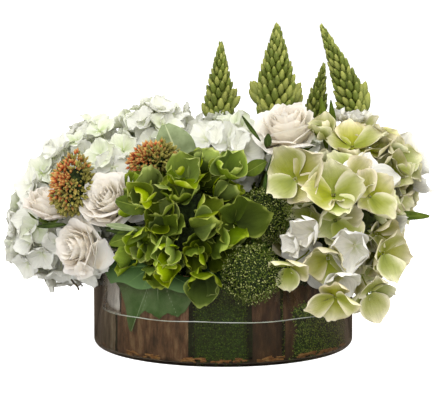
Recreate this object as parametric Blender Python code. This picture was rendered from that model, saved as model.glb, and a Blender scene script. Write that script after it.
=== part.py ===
"""Low round glass bowl filled with a domed flower arrangement, for the middle of a table.

The bowl stands on z = 0 with its axis on Z, and the arrangement's best side faces -Y.
A soaked foam block sits in the bowl behind a lining of bark and moss, water fills the
space next to the glass, and each flower's stem runs from a socket in its head down into
a hole in the foam. Heads that press on each other are flattened where they meet.
"""

import math

import bmesh
import bpy
from mathutils import Vector, noise

MM = 0.001
GAP = 0.3 * MM  # clearance between solids that touch on the real thing
HALF_GAP = 0.2 * MM  # each pressed head's share of the space between two heads

# Bowl
BOWL_RADIUS = 125 * MM
BOWL_HEIGHT = 80 * MM
WALL = 5 * MM
BASE = 7 * MM
HEEL_RADIUS = 6 * MM  # rounded corner under the bowl
RIM_RADIUS = 2.5 * MM
INNER_CORNER = 2 * MM
BOWL_STEPS = 48
HEEL_STEPS = 3
RIM_STEPS = 4

# What stands in the bowl
WATER_TOP = 40 * MM
FOAM_RADIUS = 102 * MM
FOAM_TOP = 90 * MM
FOAM_SHOULDER = 8 * MM
FOAM_STEPS = 36
LINING_INNER = FOAM_RADIUS + GAP
LINING_FLOOR = BASE + GAP
LINING_STEP = 7  # degrees between a lining piece's cross-sections
FLOOR_ROOM = 8 * GAP  # how far a lining piece's cutter reaches below the water

BARK_OUTER = 113 * MM
BARK_BACKING = 4 * MM  # air between the bark and the foam
BARK_TORN = 5 * MM  # most that the torn edge rises or falls
BARK_RIPPLE = 0.8 * MM
BARK_SLANT = 2 * MM  # the torn edge is lower on the foam side

MOSS_OUTER = 114 * MM
MOSS_SHOULDER = 7 * MM
MOSS_END = 3 * MM  # how much a pad draws in at its two ends
MOSS_SWELL = 1.2 * MM
MOSS_FACE_FOOT = 20 * MM
MOSS_EASE = 1 * MM

# Front leaf, a broad blade between the lining and the glass
LEAF_THICKNESS = 1.2 * MM
FRONT_LEAF_ANGLES = (-64, -20)
FRONT_LEAF_STEP = 4
FRONT_LEAF_TIP = 0.42  # share of the way along at which the tip hangs lowest
FRONT_LEAF_SIDE = 62 * MM  # height of the lower edge at both ends
FRONT_LEAF_DROP = 40 * MM
FRONT_LEAF_TOP = 86 * MM
FRONT_LEAF_ARCH = 12 * MM
FRONT_LEAF_FALL = 6 * MM

# Stems
FOOT_SHARE = 0.44  # a stem's foot lies at this share of its head's distance from the axis
FOOT_LIMIT = 66 * MM
FOOT_DEPTH = 48 * MM  # height of a stem's foot above the table
SOCKET_SHARE = 0.4  # a stem ends this share of the head's radius below its centre
STEM_SIDES = 6
STEM_RINGS = 7
STEM_RISE = 14 * MM  # a stem leaves the foam straight for about this far
BEND_SHARE = 1.35  # a stem starts to bend this share of the head's radius below its centre
CORE = Vector((0, 0, 108 * MM))  # the point that the heads face away from

# Lining pieces: name, first and last angle in degrees from the front, anticlockwise from above, top.
BARK = [
    ("bark_strip_front_right", 13, 27, 84 * MM),
    ("bark_strip_right", 80, 124, 80 * MM),
    ("bark_strip_back", 168, 206, 82 * MM),
    ("bark_strip_left", 254, 302, 80 * MM),
    ("bark_strip_front_left", 304, 344, 82 * MM),
]
MOSS = [
    ("moss_pad_front", -14, 11, 72 * MM),
    ("moss_pad_right", 29, 78, 70 * MM),
    ("moss_pad_back_right", 126, 166, 72 * MM),
    ("moss_pad_back_left", 208, 252, 70 * MM),
]

# Flower heads: name, kind, centre in mm, radius in mm.
HEADS = [
    ("white_hydrangea_left", "mophead", (-150, 0, 110), 60),
    ("white_hydrangea_upper_left", "mophead", (-124, 42, 166), 50),
    ("white_hydrangea_top_left", "mophead", (-66, 35, 190), 47),
    ("white_hydrangea_top", "mophead", (-1, 22, 180), 42),
    ("white_hydrangea_back_left", "mophead", (-84, 98, 118), 57),
    ("green_hydrangea_front", "mophead", (-36, -80, 118), 67),
    ("green_hydrangea_back", "mophead", (12, 104, 122), 60),
    ("variegated_hydrangea_front", "mophead", (100, -54, 119), 67),
    ("variegated_hydrangea_right", "mophead", (140, 32, 152), 57),
    ("variegated_hydrangea_back", "mophead", (104, 98, 108), 52),
    ("white_hydrangea_top_right", "mophead", (66, 52, 172), 44),
    ("rose_upper_left", "rose", (-102, -88, 146), 25),
    ("rose_lower_left", "rose", (-129, -86, 102), 26),
    ("rose_far_left", "rose", (-160, -56, 138), 20),
    ("rose_top", "rose", (60, -28, 206), 28),
    ("rose_back", "rose", (-34, 122, 176), 27),
    ("sedum_left", "corymb", (-136, -78, 158), 29),
    ("sedum_right", "corymb", (-63, -64, 180), 24),
    ("green_pompon_upper", "pompon", (36, -92, 132), 26),
    ("green_pompon_lower", "pompon", (24, -130, 86), 27),
]

# Bud spikes: name, stem's foot in the foam (x, y), foot of the buds, tip, greatest radius, all in mm.
SPIKES = [
    ("bud_spike_left", (-16, 26), (-4, 32, 216), (-2, 26, 289), 15),
    ("bud_spike_middle", (18, 42), (52, 34, 216), (52, 28, 306), 22),
    ("bud_spike_right", (46, 34), (122, 34, 216), (95, 30, 305), 18),
    ("bud_spike_short", (30, 52), (90, 56, 208), (100, 52, 268), 12),
]
SPIKE_SIDES = 10
SPIKE_RINGS = 13
SPIKE_STEM = 2.4 * MM
SPIKE_TIP = 1 * MM
SPIKE_RISE = 60 * MM
SPIKE_LEAD = 40 * MM
SPIKE_BUDS = 5  # buds round the spike in each ring
SPIKE_BUD_SWELL = 0.14

# Leaf blades above the bowl: name, base in mm, tip in mm, half width in mm, side that the face looks to.
LEAVES = [
    ("hydrangea_leaf_top", (-30, -42, 166), (-58, -32, 210), 19, (0.2, -1, 0.3)),
    ("hydrangea_leaf_back", (42, 122, 146), (70, 144, 204), 20, (0, 1, 0.3)),
]
LEAF_STATIONS = 7
LEAF_ARCH = 6 * MM

COLOURS = {
    "clear_glass": (0.93, 0.95, 0.94, 0.05, 0),
    "water": (0.80, 0.86, 0.80, 0.05, 0),
    "foam": (0.10, 0.16, 0.07, 0.95, 0),
    "bark": (0.17, 0.09, 0.05, 0.85, 0),
    "moss": (0.11, 0.20, 0.04, 0.95, 0),
    "dark_leaf": (0.04, 0.13, 0.04, 0.5, 0),
    "stem": (0.18, 0.30, 0.08, 0.6, 0),
    "white_petals": (0.84, 0.88, 0.80, 0.7, 0),
    "green_petals": (0.24, 0.38, 0.05, 0.65, 0),
    "variegated_petals": (0.58, 0.68, 0.34, 0.7, 0),
    "rose_petals": (0.86, 0.78, 0.70, 0.6, 0),
    "sedum_buds": (0.45, 0.22, 0.07, 0.7, 0),
    "pompon_buds": (0.15, 0.25, 0.05, 0.8, 0),
    "spike_buds": (0.22, 0.33, 0.08, 0.6, 0),
}


# ---------------------------------------------------------------- materials and objects


def material(name):
    """The Principled material of that name, made on first use."""
    found = bpy.data.materials.get(name)
    if found:
        return found
    red, green, blue, roughness, metallic = COLOURS[name]
    made = bpy.data.materials.new(name)
    made.use_nodes = True
    shader = made.node_tree.nodes["Principled BSDF"]
    shader.inputs["Base Color"].default_value = (red, green, blue, 1)
    shader.inputs["Roughness"].default_value = roughness
    shader.inputs["Metallic"].default_value = metallic
    made.diffuse_color = (red, green, blue, 1)
    return made


def solid(name, points, faces, finish, cutter=False):
    """A named object from points and faces, shaded smooth with sharp edges kept."""
    mesh = bpy.data.meshes.new(name)
    mesh.from_pydata([tuple(p) for p in points], [], faces)
    mesh.materials.append(material(finish))
    made = bpy.data.objects.new(name, mesh)
    bpy.context.scene.collection.objects.link(made)
    if cutter:
        made.hide_render = True
        made.display_type = "WIRE"
    else:
        mesh.shade_smooth()
        mesh.set_sharp_from_angle(angle=math.radians(50))
    return made


def cut(body, cutter):
    """Takes the cutter's shape out of the body with an exact Boolean."""
    modifier = body.modifiers.new("cut_" + cutter.name, "BOOLEAN")
    modifier.operation = "DIFFERENCE"
    modifier.solver = "EXACT"
    modifier.object = cutter


def rings_to_faces(ring_count, sides, first=0):
    """Triangles between successive rings, facing out when the rings run up the axis. Quads would bend
    one way on a piece and another on its cutter."""
    faces = []
    for ring in range(ring_count - 1):
        low = first + ring * sides
        high = low + sides
        for side in range(sides):
            following = (side + 1) % sides
            faces.append((low + side, low + following, high + following))
            faces.append((low + side, high + following, high + side))
    return faces


# ---------------------------------------------------------------- turned and swept shapes


def turned(name, outline, finish, steps=BOWL_STEPS, cutter=False):
    """A solid of revolution. The outline runs from the axis below, up the outside, to the axis above."""
    inner = outline[1:-1]
    points = [(0, 0, outline[0][1])]
    for radius, height in inner:
        for step in range(steps):
            angle = math.tau * step / steps
            points.append((radius * math.cos(angle), radius * math.sin(angle), height))
    points.append((0, 0, outline[-1][1]))
    faces = rings_to_faces(len(inner), steps, first=1)
    top, top_ring = len(points) - 1, len(points) - 1 - steps
    for step in range(steps):
        following = (step + 1) % steps
        faces.append((0, 1 + following, 1 + step))
        faces.append((top, top_ring + step, top_ring + following))
    return solid(name, points, faces, finish, cutter)


def arc(centre_r, centre_z, radius, start, end, count):
    """Outline points on an arc, with angles in degrees from outwards towards up."""
    points = []
    for k in range(count + 1):
        angle = math.radians(start + (end - start) * k / count)
        points.append((centre_r + radius * math.cos(angle), centre_z + radius * math.sin(angle)))
    return points


def swept(name, sections, finish, cutter=False):
    """A closed solid from cross-sections that go round the bowl. A section is (angle, [(r, z), ...])."""
    points = []
    for angle, outline in sections:
        turn = math.radians(angle - 90)
        for radius, height in outline:
            points.append((radius * math.cos(turn), radius * math.sin(turn), height))
    sides = len(sections[0][1])
    faces = [tuple(reversed(face)) for face in rings_to_faces(len(sections), sides)]
    last = (len(sections) - 1) * sides
    faces.append(tuple(range(sides)))
    faces.append(tuple(range(last + sides - 1, last - 1, -1)))
    return solid(name, points, faces, finish, cutter)


def spaced_angles(start, end, step=LINING_STEP):
    count = max(2, round((end - start) / step))
    return [start + (end - start) * k / count for k in range(count + 1)]


def tube(name, path, radius_at, sides, finish, cutter=False):
    """A closed tube along a path. radius_at(ring, angle) gives its radius there."""
    points = []
    side_axis = None
    for ring, centre in enumerate(path):
        ahead = path[min(ring + 1, len(path) - 1)] - path[max(ring - 1, 0)]
        along = ahead.normalized()
        if side_axis is None:
            side_axis = along.orthogonal().normalized()
        side_axis = (side_axis - along * side_axis.dot(along)).normalized()
        other_axis = along.cross(side_axis)
        for side in range(sides):
            angle = math.tau * side / sides
            out = side_axis * math.cos(angle) + other_axis * math.sin(angle)
            points.append(centre + out * radius_at(ring, angle))
    faces = rings_to_faces(len(path), sides)
    last = (len(path) - 1) * sides
    faces.append(tuple(range(sides - 1, -1, -1)))
    faces.append(tuple(range(last, last + sides)))
    return solid(name, points, faces, finish, cutter)


# ---------------------------------------------------------------- bowl, water, foam


def make_bowl():
    inner = BOWL_RADIUS - WALL
    outline = [(0, 0)]
    outline += arc(BOWL_RADIUS - HEEL_RADIUS, HEEL_RADIUS, HEEL_RADIUS, -90, 0, HEEL_STEPS)
    outline += arc(BOWL_RADIUS - RIM_RADIUS, BOWL_HEIGHT - RIM_RADIUS, RIM_RADIUS, 0, 180, RIM_STEPS)
    outline += [(inner, BASE + INNER_CORNER), (inner - INNER_CORNER, BASE), (0, BASE)]
    return turned("glass_bowl", outline, "clear_glass")


def make_water():
    """The water beside the glass: a ring that the lining and the front leaf are cut out of."""
    outer = BOWL_RADIUS - WALL - GAP
    outline = [
        (LINING_INNER, LINING_FLOOR),
        (outer - INNER_CORNER, LINING_FLOOR),
        (outer, LINING_FLOOR + INNER_CORNER),
        (outer, WATER_TOP),
        (LINING_INNER, WATER_TOP),
    ]
    points = []
    for step in range(BOWL_STEPS):
        angle = math.tau * step / BOWL_STEPS
        for radius, height in outline:
            points.append((radius * math.cos(angle), radius * math.sin(angle), height))
    sides = len(outline)
    faces = []
    for step in range(BOWL_STEPS):
        here, there = step * sides, (step + 1) % BOWL_STEPS * sides
        for side in range(sides):
            following = (side + 1) % sides
            faces.append((here + side, there + side, there + following, here + following))
    return solid("water", points, faces, "water")


def make_foam():
    outline = [
        (0, LINING_FLOOR),
        (FOAM_RADIUS, LINING_FLOOR),
        (FOAM_RADIUS, BOWL_HEIGHT - FOAM_SHOULDER),
        (FOAM_RADIUS - FOAM_SHOULDER, FOAM_TOP),
        (0, FOAM_TOP),
    ]
    return turned("floral_foam", outline, "foam", FOAM_STEPS)


# ---------------------------------------------------------------- lining


def lining_floor(grow):
    """Where a lining piece ends below, or its cutter, which reaches lower."""
    return LINING_FLOOR - (FLOOR_ROOM if grow else 0)


def bark_sections(start, end, top, grow=0.0):
    """A curved slab of bark with a torn top edge. grow widens it all round, for its cutter."""
    sections = []
    for angle in spaced_angles(start, end):
        torn = top + noise.noise(Vector((angle * 0.11, top / MM * 0.9, 0))) * BARK_TORN
        ripple = math.sin(angle * 0.9) * BARK_RIPPLE
        outer = BARK_OUTER + ripple + grow
        inner = LINING_INNER + BARK_BACKING + ripple - grow
        floor = lining_floor(grow)
        outline = [(inner, floor), (outer, floor), (outer, torn), (inner, torn - BARK_SLANT)]
        sections.append((angle, outline))
    return widened(sections, grow)


def moss_sections(start, end, top, grow=0.0):
    """A pad of moss, rounded at its top and ends. grow widens it all round, for its cutter."""
    sections = []
    angles = spaced_angles(start, end)
    for place, angle in enumerate(angles):
        inset = MOSS_END if place in (0, len(angles) - 1) else 0
        swell = noise.noise(Vector((angle * 0.2, 3.1, 0))) * MOSS_SWELL
        outer = MOSS_OUTER - inset + swell - MOSS_SWELL / 2 + grow
        inner = LINING_INNER - grow
        floor = lining_floor(grow)
        height = top - inset + swell * 2
        outline = [
            (inner, floor),
            (outer - MOSS_EASE, floor),
            (outer, floor + MOSS_FACE_FOOT),
            (outer - MOSS_EASE, height - MOSS_SHOULDER),
            ((inner + outer) / 2, height),
            (inner, height - MOSS_SHOULDER / 2),
        ]
        sections.append((angle, outline))
    return widened(sections, grow)


def widened(sections, grow):
    """Moves the first and last section outwards round the bowl by grow."""
    turn = math.degrees(grow / LINING_INNER)
    sections[0] = (sections[0][0] - turn, sections[0][1])
    sections[-1] = (sections[-1][0] + turn, sections[-1][1])
    return sections


def make_lining(water):
    for pieces, sections_of, finish in ((BARK, bark_sections, "bark"), (MOSS, moss_sections, "moss")):
        for name, start, end, top in pieces:
            swept(name, sections_of(start, end, top), finish)
            space = swept("space_for_" + name, sections_of(start, end, top, GAP), finish, cutter=True)
            cut(water, space)


def front_leaf_sections(grow=0.0):
    """A broad leaf pinched between the bark and the glass, with its tip down in the water."""
    inner = BARK_OUTER + LEAF_THICKNESS
    outer = inner + LEAF_THICKNESS
    first, last = FRONT_LEAF_ANGLES
    sections = []
    for angle in spaced_angles(first, last, FRONT_LEAF_STEP):
        place = (angle - first) / (last - first)
        near_tip = place / FRONT_LEAF_TIP if place < FRONT_LEAF_TIP else (1 - place) / (1 - FRONT_LEAF_TIP)
        foot = FRONT_LEAF_SIDE - FRONT_LEAF_DROP * near_tip**1.3
        arch = FRONT_LEAF_ARCH * math.sin(math.pi * min(1, place * 1.15 + 0.1))
        crest = FRONT_LEAF_TOP + arch - FRONT_LEAF_FALL * place + grow
        low, high, near = foot - grow, crest + grow, inner - grow * 5
        sections.append((angle, [(near, low), (outer + grow, low), (outer + grow, high), (near, high)]))
    return widened(sections, grow)


def make_front_leaf():
    """The leaf. Returns the cutter that makes room for it."""
    swept("front_leaf", front_leaf_sections(), "dark_leaf")
    return swept("space_for_front_leaf", front_leaf_sections(GAP), "dark_leaf", cutter=True)


# ---------------------------------------------------------------- flower heads


def mophead(way, radius):
    """Hydrangea: a ball of florets, lumpy, tucked in underneath."""
    lumps = 0.09 * noise.noise(way * 2.6 + Vector((radius * 1000, 0, 0)))
    tuck = 0.12 * max(0, -way.z - 0.3)
    return radius * (0.97 + lumps - tuck)


def rose(way, radius):
    """Rose: a cup, full at the shoulder and drawn in to the sepals."""
    height = way.z
    tuck = 0.30 * max(0, -height) ** 1.5
    hollow = 0.16 * max(0, height) ** 4
    petals = 0.04 * math.sin(5 * math.atan2(way.y, way.x) + 6 * height)
    return radius * (1.0 + petals - tuck - hollow)


def corymb(way, radius):
    """Sedum: a low dome of buds, drawn in to the stem below."""
    flat = 0.60 if way.z > 0 else 0.48
    ellipse = 1 / math.sqrt((1 - way.z**2) + (way.z / flat) ** 2)
    return radius * (ellipse + 0.05 * noise.noise(way * 5))


def pompon(way, radius):
    """Round ball of fine green buds."""
    return radius * (0.98 + 0.04 * noise.noise(way * 6))


SHAPES = {"mophead": mophead, "rose": rose, "corymb": corymb, "pompon": pompon}
STEM_RADII = {"mophead": 2.8 * MM, "rose": 2.2 * MM, "corymb": 2.0 * MM, "pompon": 1.8 * MM}


class Head:
    """One flower head: its place, its shape, and the way that it faces."""

    def __init__(self, name, kind, centre, radius):
        self.name = name
        self.kind = kind
        self.centre = Vector(centre) * MM
        self.radius = radius * MM
        self.facing = (self.centre - CORE).normalized()
        self.turn = self.facing.to_track_quat("Z", "Y")

    def reach(self, way):
        """Distance from the centre to the surface along a world direction."""
        return SHAPES[self.kind](self.turn.inverted() @ way, self.radius)

    def limit(self, other, way):
        """Distance along way at which this head meets the plane where it presses on the other."""
        between = other.centre - self.centre
        toward = between.normalized()
        mine, theirs = self.reach(toward), other.reach(-toward)
        plane = between.length * mine / (mine + theirs) - HALF_GAP
        lean = way.dot(toward)
        return plane / lean if lean > 1e-6 else math.inf


def head_finish(head):
    if head.kind == "mophead":
        return head.name.split("_")[0] + "_petals"
    return {"rose": "rose_petals", "corymb": "sedum_buds", "pompon": "pompon_buds"}[head.kind]


def make_head(head, others):
    ball = bmesh.new()
    bmesh.ops.create_icosphere(ball, subdivisions=2, radius=1)
    for vertex in ball.verts:
        way = vertex.co.normalized()
        pressed = [head.limit(other, way) for other in others]
        vertex.co = head.centre + way * min([head.reach(way)] + pressed)
    points = [v.co.copy() for v in ball.verts]
    faces = [tuple(v.index for v in f.verts) for f in ball.faces]
    ball.free()
    return solid(head.name, points, faces, head_finish(head))


# ---------------------------------------------------------------- stems


def bezier(a, b, c, d, count):
    """Points on a cubic curve, from a to d."""
    points = []
    for k in range(count):
        t = k / (count - 1)
        s = 1 - t
        points.append(a * s**3 + b * 3 * s * s * t + c * 3 * s * t * t + d * t**3)
    return points


def foot_of(place):
    """Where a stem to that place stands in the foam."""
    flat = Vector((place.x, place.y, 0)) * FOOT_SHARE
    if flat.length > FOOT_LIMIT:
        flat *= FOOT_LIMIT / flat.length
    return Vector((flat.x, flat.y, FOOT_DEPTH))


def stem_path(head):
    """From the foam straight up, then over to the head's underside."""
    foot = foot_of(head.centre)
    end = head.centre - head.facing * head.radius * SOCKET_SHARE
    bend = head.centre - head.facing * head.radius * BEND_SHARE
    rise = foot + Vector((0, 0, FOAM_TOP + STEM_RISE - FOOT_DEPTH))
    return bezier(foot, rise, bend, end, STEM_RINGS)


def lengthened(path, extra):
    """The path with both its ends moved out by extra."""
    first = path[0] + (path[0] - path[1]).normalized() * extra
    last = path[-1] + (path[-1] - path[-2]).normalized() * extra
    return [first] + path[1:-1] + [last]


def make_stem(head):
    """The stem of a head. Returns (its path, the cutter that makes room for it)."""
    path = stem_path(head)
    radius = STEM_RADII[head.kind]
    name = head.name + "_stem"
    tube(name, path, lambda ring, angle: radius, STEM_SIDES, "stem")
    wider, longer = radius + GAP, lengthened(path, GAP)
    room = tube("space_for_" + name, longer, lambda ring, angle: wider, STEM_SIDES, "stem", cutter=True)
    return path, room


# ---------------------------------------------------------------- bud spikes


def spike_path(base, foot, tip):
    """The flowering stem of a spike, from its base in the foam up to its tip."""
    rise = base + Vector((0, 0, SPIKE_RISE))
    lead = foot - (tip - foot).normalized() * SPIKE_LEAD
    stem = bezier(base, rise, lead, foot, STEM_RINGS)[:-1]
    buds = [foot.lerp(tip, k / (SPIKE_RINGS - 1)) for k in range(SPIKE_RINGS)]
    return stem + buds


def spike_radius(greatest, grow=0.0):
    """Radius of a spike: a thin stem, then rings of buds that swell quickly and taper to the tip."""
    stem_rings = STEM_RINGS - 1

    def radius_at(ring, angle):
        if ring < stem_rings:
            return SPIKE_STEM + grow
        t = (ring - stem_rings) / (SPIKE_RINGS - 1)
        if t == 1:
            return SPIKE_TIP + grow
        swell = min(1, 0.25 + t / 0.22)
        taper = (1 - t) ** 0.8
        buds = 1 + SPIKE_BUD_SWELL * math.cos(SPIKE_BUDS * angle + math.pi * ring)
        return max(SPIKE_STEM, greatest * swell * taper * buds) + grow

    return radius_at


def make_spike(name, base, foot, tip, greatest):
    """A spike in one piece with its stem. Returns (its path, the cutter that makes room for it)."""
    in_foam = Vector((base[0] * MM, base[1] * MM, FOOT_DEPTH))
    path = spike_path(in_foam, Vector(foot) * MM, Vector(tip) * MM)
    tube(name, path, spike_radius(greatest * MM), SPIKE_SIDES, "spike_buds")
    wider, longer = spike_radius(greatest * MM, GAP), lengthened(path, GAP)
    room = tube("space_for_" + name, longer, wider, SPIKE_SIDES, "spike_buds", cutter=True)
    return path, room


# ---------------------------------------------------------------- leaves among the heads


def leaf_points(base, tip, half_width, looks, thickness):
    """Cross-sections of a pointed, slightly arched leaf blade, as rings of four points."""
    base, tip = Vector(base) * MM, Vector(tip) * MM
    along = tip - base
    normal = (Vector(looks) - along * Vector(looks).dot(along) / along.length_squared).normalized()
    across = along.cross(normal).normalized()
    points = []
    for k in range(LEAF_STATIONS):
        t = k / (LEAF_STATIONS - 1)
        width = half_width * MM * (0.08 + 0.92 * math.sin(math.pi * min(1, t * 0.94 + 0.04)) ** 0.8)
        centre = base + along * t + normal * (LEAF_ARCH * math.sin(math.pi * t))
        for side, lift in ((-1, 1), (1, 1), (1, -1), (-1, -1)):
            points.append(centre + across * side * (width + thickness / 4) + normal * lift * thickness / 2)
    return points


def leaf_solid(name, leaf, thickness, cutter=False):
    points = leaf_points(*leaf, thickness)
    faces = rings_to_faces(LEAF_STATIONS, 4)
    last = (LEAF_STATIONS - 1) * 4
    faces.append((3, 2, 1, 0))
    faces.append((last, last + 1, last + 2, last + 3))
    return solid(name, points, faces, "dark_leaf", cutter)


# ---------------------------------------------------------------- assembly


def passes(path, head):
    """True if the path comes near the head."""
    fine = []
    for a, b in zip(path, path[1:]):
        fine += [a.lerp(b, k / 4) for k in range(4)]
    return any((point - head.centre).length < head.radius * 1.1 + 4 * MM for point in fine + [path[-1]])


def main():
    for old in list(bpy.data.objects):
        bpy.data.objects.remove(old)
    make_bowl()
    water = make_water()
    foam = make_foam()
    make_lining(water)
    leaf_room = make_front_leaf()
    cut(water, leaf_room)

    heads = [Head(*row) for row in HEADS]
    made = {head.name: make_head(head, [o for o in heads if o is not head]) for head in heads}

    beside, above, below = BOWL_RADIUS + GAP * 1.5, FOAM_TOP + GAP, -BOWL_HEIGHT
    outline = [(0, below), (beside, below), (beside, above), (0, above)]
    bowl_room = turned("space_for_bowl", outline, "clear_glass", cutter=True)
    rooms = [make_stem(head) for head in heads]
    rooms += [make_spike(*row) for row in SPIKES]
    for path, room in rooms:
        cut(foam, room)
        for head in heads:
            if passes(path, head):
                cut(made[head.name], room)
    for head in heads:
        if head.centre.z - head.radius < FOAM_TOP:
            cut(made[head.name], bowl_room)
    cut(made["green_hydrangea_front"], leaf_room)
    for name, *leaf in LEAVES:
        leaf_solid(name, leaf, LEAF_THICKNESS)
        room = leaf_solid("space_for_" + name, leaf, LEAF_THICKNESS + 2 * GAP, cutter=True)
        for head in heads:
            cut(made[head.name], room)


main()
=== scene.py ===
import math
import random
from collections import namedtuple

import bmesh
import bpy
import numpy as np
from mathutils import Matrix, Vector, noise
from mathutils.bvhtree import BVHTree


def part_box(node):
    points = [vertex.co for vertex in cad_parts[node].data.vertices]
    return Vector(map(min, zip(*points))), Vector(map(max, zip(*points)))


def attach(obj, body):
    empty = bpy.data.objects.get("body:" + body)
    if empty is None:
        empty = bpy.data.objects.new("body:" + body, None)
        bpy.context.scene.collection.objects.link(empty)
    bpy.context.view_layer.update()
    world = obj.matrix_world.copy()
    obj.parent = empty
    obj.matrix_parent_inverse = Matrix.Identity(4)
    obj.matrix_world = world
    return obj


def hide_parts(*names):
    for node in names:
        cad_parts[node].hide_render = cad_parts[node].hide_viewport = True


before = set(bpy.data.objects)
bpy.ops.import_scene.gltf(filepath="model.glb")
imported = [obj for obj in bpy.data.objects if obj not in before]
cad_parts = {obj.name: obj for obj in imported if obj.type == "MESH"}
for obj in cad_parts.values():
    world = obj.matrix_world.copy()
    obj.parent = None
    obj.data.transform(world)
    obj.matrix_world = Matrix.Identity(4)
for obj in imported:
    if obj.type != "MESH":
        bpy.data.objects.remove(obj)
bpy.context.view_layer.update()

# The looks of a flower centerpiece: every petal, bud, leaf and tuft of moss, round the solids of the frame.
# Lengths are in metres. A petal's mark says how far across it a point is (-1 to 1), how far along (0 to 1),
# and which petal it is (0 to 1), so that the finishes can fade, edge and vary the colours.

MM = 0.001
GOLDEN_TURN = math.pi * (3 - math.sqrt(5))
DICE = random.Random(20)

HEART = Vector((0, 0, 108 * MM))  # the point that all the flowers face away from
PETAL_THICKNESS = 0.35 * MM

BOWL_LOW, BOWL_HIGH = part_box("glass_bowl")
BOWL_RADIUS = (BOWL_HIGH.x - BOWL_LOW.x) / 2
RIM_HEIGHT = BOWL_HIGH.z
WATER_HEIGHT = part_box("water")[1].z
WATER_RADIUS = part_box("water")[1].x
FOAM_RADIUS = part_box("floral_foam")[1].x


# ---------------------------------------------------------------- finishes


def rgb(code):
    """An sRGB hex colour as the linear colour that a shader takes."""
    values = [int(code[k : k + 2], 16) / 255 for k in (1, 3, 5)]
    linear = [v / 12.92 if v <= 0.04045 else ((v + 0.055) / 1.055) ** 2.4 for v in values]
    return (*linear, 1.0)


def put(tree, kind, feeds=None, stops=None, **settings):
    """Adds a node. feeds maps its inputs to values, to sockets, or to nodes, which stand for what they give;
    stops are a ramp's colours or greys."""
    made = tree.nodes.new("ShaderNode" + kind)
    for name, value in settings.items():
        setattr(made, name, value)
    for place, value in (feeds or {}).items():
        if isinstance(value, bpy.types.Node):
            value = value.outputs[2 if value.type == "MIX" else 0]
        if isinstance(value, bpy.types.NodeSocket):
            tree.links.new(value, made.inputs[place])
        else:
            made.inputs[place].default_value = value
    if stops:
        ramp = made.color_ramp
        while len(ramp.elements) < len(stops):
            ramp.elements.new(1.0)
        for element, (position, colour) in zip(ramp.elements, stops):
            element.position = position
            element.color = rgb(colour) if isinstance(colour, str) else (colour,) * 3 + (1,)
    return made


BLEND = {"data_type": "RGBA"}
TIMES = {"data_type": "RGBA", "blend_type": "MULTIPLY"}


def blank(name):
    """A new material and its node tree, with nothing in it."""
    made = bpy.data.materials.new(name)
    made.use_nodes = True
    made.node_tree.nodes.clear()
    return made, made.node_tree


def read_mark(tree):
    """The three numbers of a petal's mark: how far across, how far along, and which petal it is."""
    mark = put(tree, "Attribute", attribute_name="petal")
    return put(tree, "SeparateXYZ", {0: mark.outputs["Vector"]}).outputs


def grow_skin(made, colour, bump, through, glow, roughness, shine):
    """Ends a plant's material: a skin over tissue that lets a share of the light through (glow)."""
    tree = made.node_tree
    feeds = {"Base Color": colour, "Roughness": roughness, "Specular IOR Level": shine, "Normal": bump}
    skin = put(tree, "BsdfPrincipled", feeds)
    put(tree, "OutputMaterial", {0: put(tree, "MixShader", {0: glow, 1: skin, 2: through})})
    return made


def petal_finish(
    name, colours, odd, share_odd, glow, lit, vein=0.6, values=(0.86, 1.04), hues=0.006, shine=0.3
):
    """Petal tissue. colours run from the heart of the petal to its edge, a share of the florets take the odd
    ones, fine veins run along it, and it lets a share of the light through (glow), tinted (lit)."""
    made, tree = blank(name)
    across, along, number = read_mark(tree)
    side = put(tree, "Math", {0: across}, operation="ABSOLUTE")
    rim = put(tree, "Math", {0: side, 1: along}, operation="MAXIMUM")
    # soft blotches keep the bands of colour from running evenly along the rim
    place = put(tree, "TexCoord").outputs["Object"]
    blotch = put(tree, "TexNoise", {"Vector": place, "Scale": 1 / (9 * MM), "Detail": 2.0})
    drift = put(tree, "MapRange", {0: blotch, 3: -0.22, 4: 0.22})
    shifted = put(tree, "Math", {0: rim, 1: drift}, operation="ADD")
    kept = put(tree, "Math", {0: rim, 1: shifted}, operation="MAXIMUM")
    usual = put(tree, "ValToRGB", {0: kept}, colours)
    other = put(tree, "ValToRGB", {0: kept}, odd)
    chosen = put(tree, "MapRange", {0: number, 1: 0.97 - share_odd, 2: 1.03 - share_odd})
    colour = put(tree, "Mix", {0: chosen, 6: usual, 7: other}, **BLEND)
    # veins run along the petal, about ten to its width
    stretched = put(tree, "CombineXYZ", {0: across, 1: along, 2: number})
    scaled = put(tree, "VectorMath", {0: stretched, 1: (5.5, 1.3, 37.0)}, operation="MULTIPLY")
    veins = put(tree, "TexNoise", {"Vector": scaled, "Scale": 1.6, "Detail": 3.0, "Roughness": 0.55})
    shade = put(tree, "ValToRGB", {0: veins}, [(0.3, 0.78), (0.55, 1.0), (0.8, 1.0)])
    veined = put(tree, "Mix", {0: vein, 6: colour, 7: shade}, **TIMES)
    # petals differ in hue, value and strength of colour from one to the next
    own = put(tree, "TexWhiteNoise", {"W": number}, noise_dimensions="1D")
    _, second, third = put(tree, "SeparateColor", {0: own.outputs["Color"]}).outputs
    hue = put(tree, "MapRange", {0: own, 3: 0.5 - hues, 4: 0.5 + hues})
    value = put(tree, "MapRange", {0: second, 3: values[0], 4: values[1]})
    strength = put(tree, "MapRange", {0: third, 3: 0.8, 4: 1.1})
    final = put(tree, "HueSaturation", {"Hue": hue, "Saturation": strength, "Value": value, "Color": veined})
    bump = put(tree, "Bump", {"Height": veins, "Strength": 0.35, "Distance": 0.8 * MM})
    warm = put(tree, "Mix", {0: 1.0, 6: final, 7: rgb(lit)}, **TIMES)
    through = put(tree, "BsdfTranslucent", {"Color": warm, "Normal": bump})
    return grow_skin(made, final, bump, through, glow, 0.6, shine)


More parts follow.
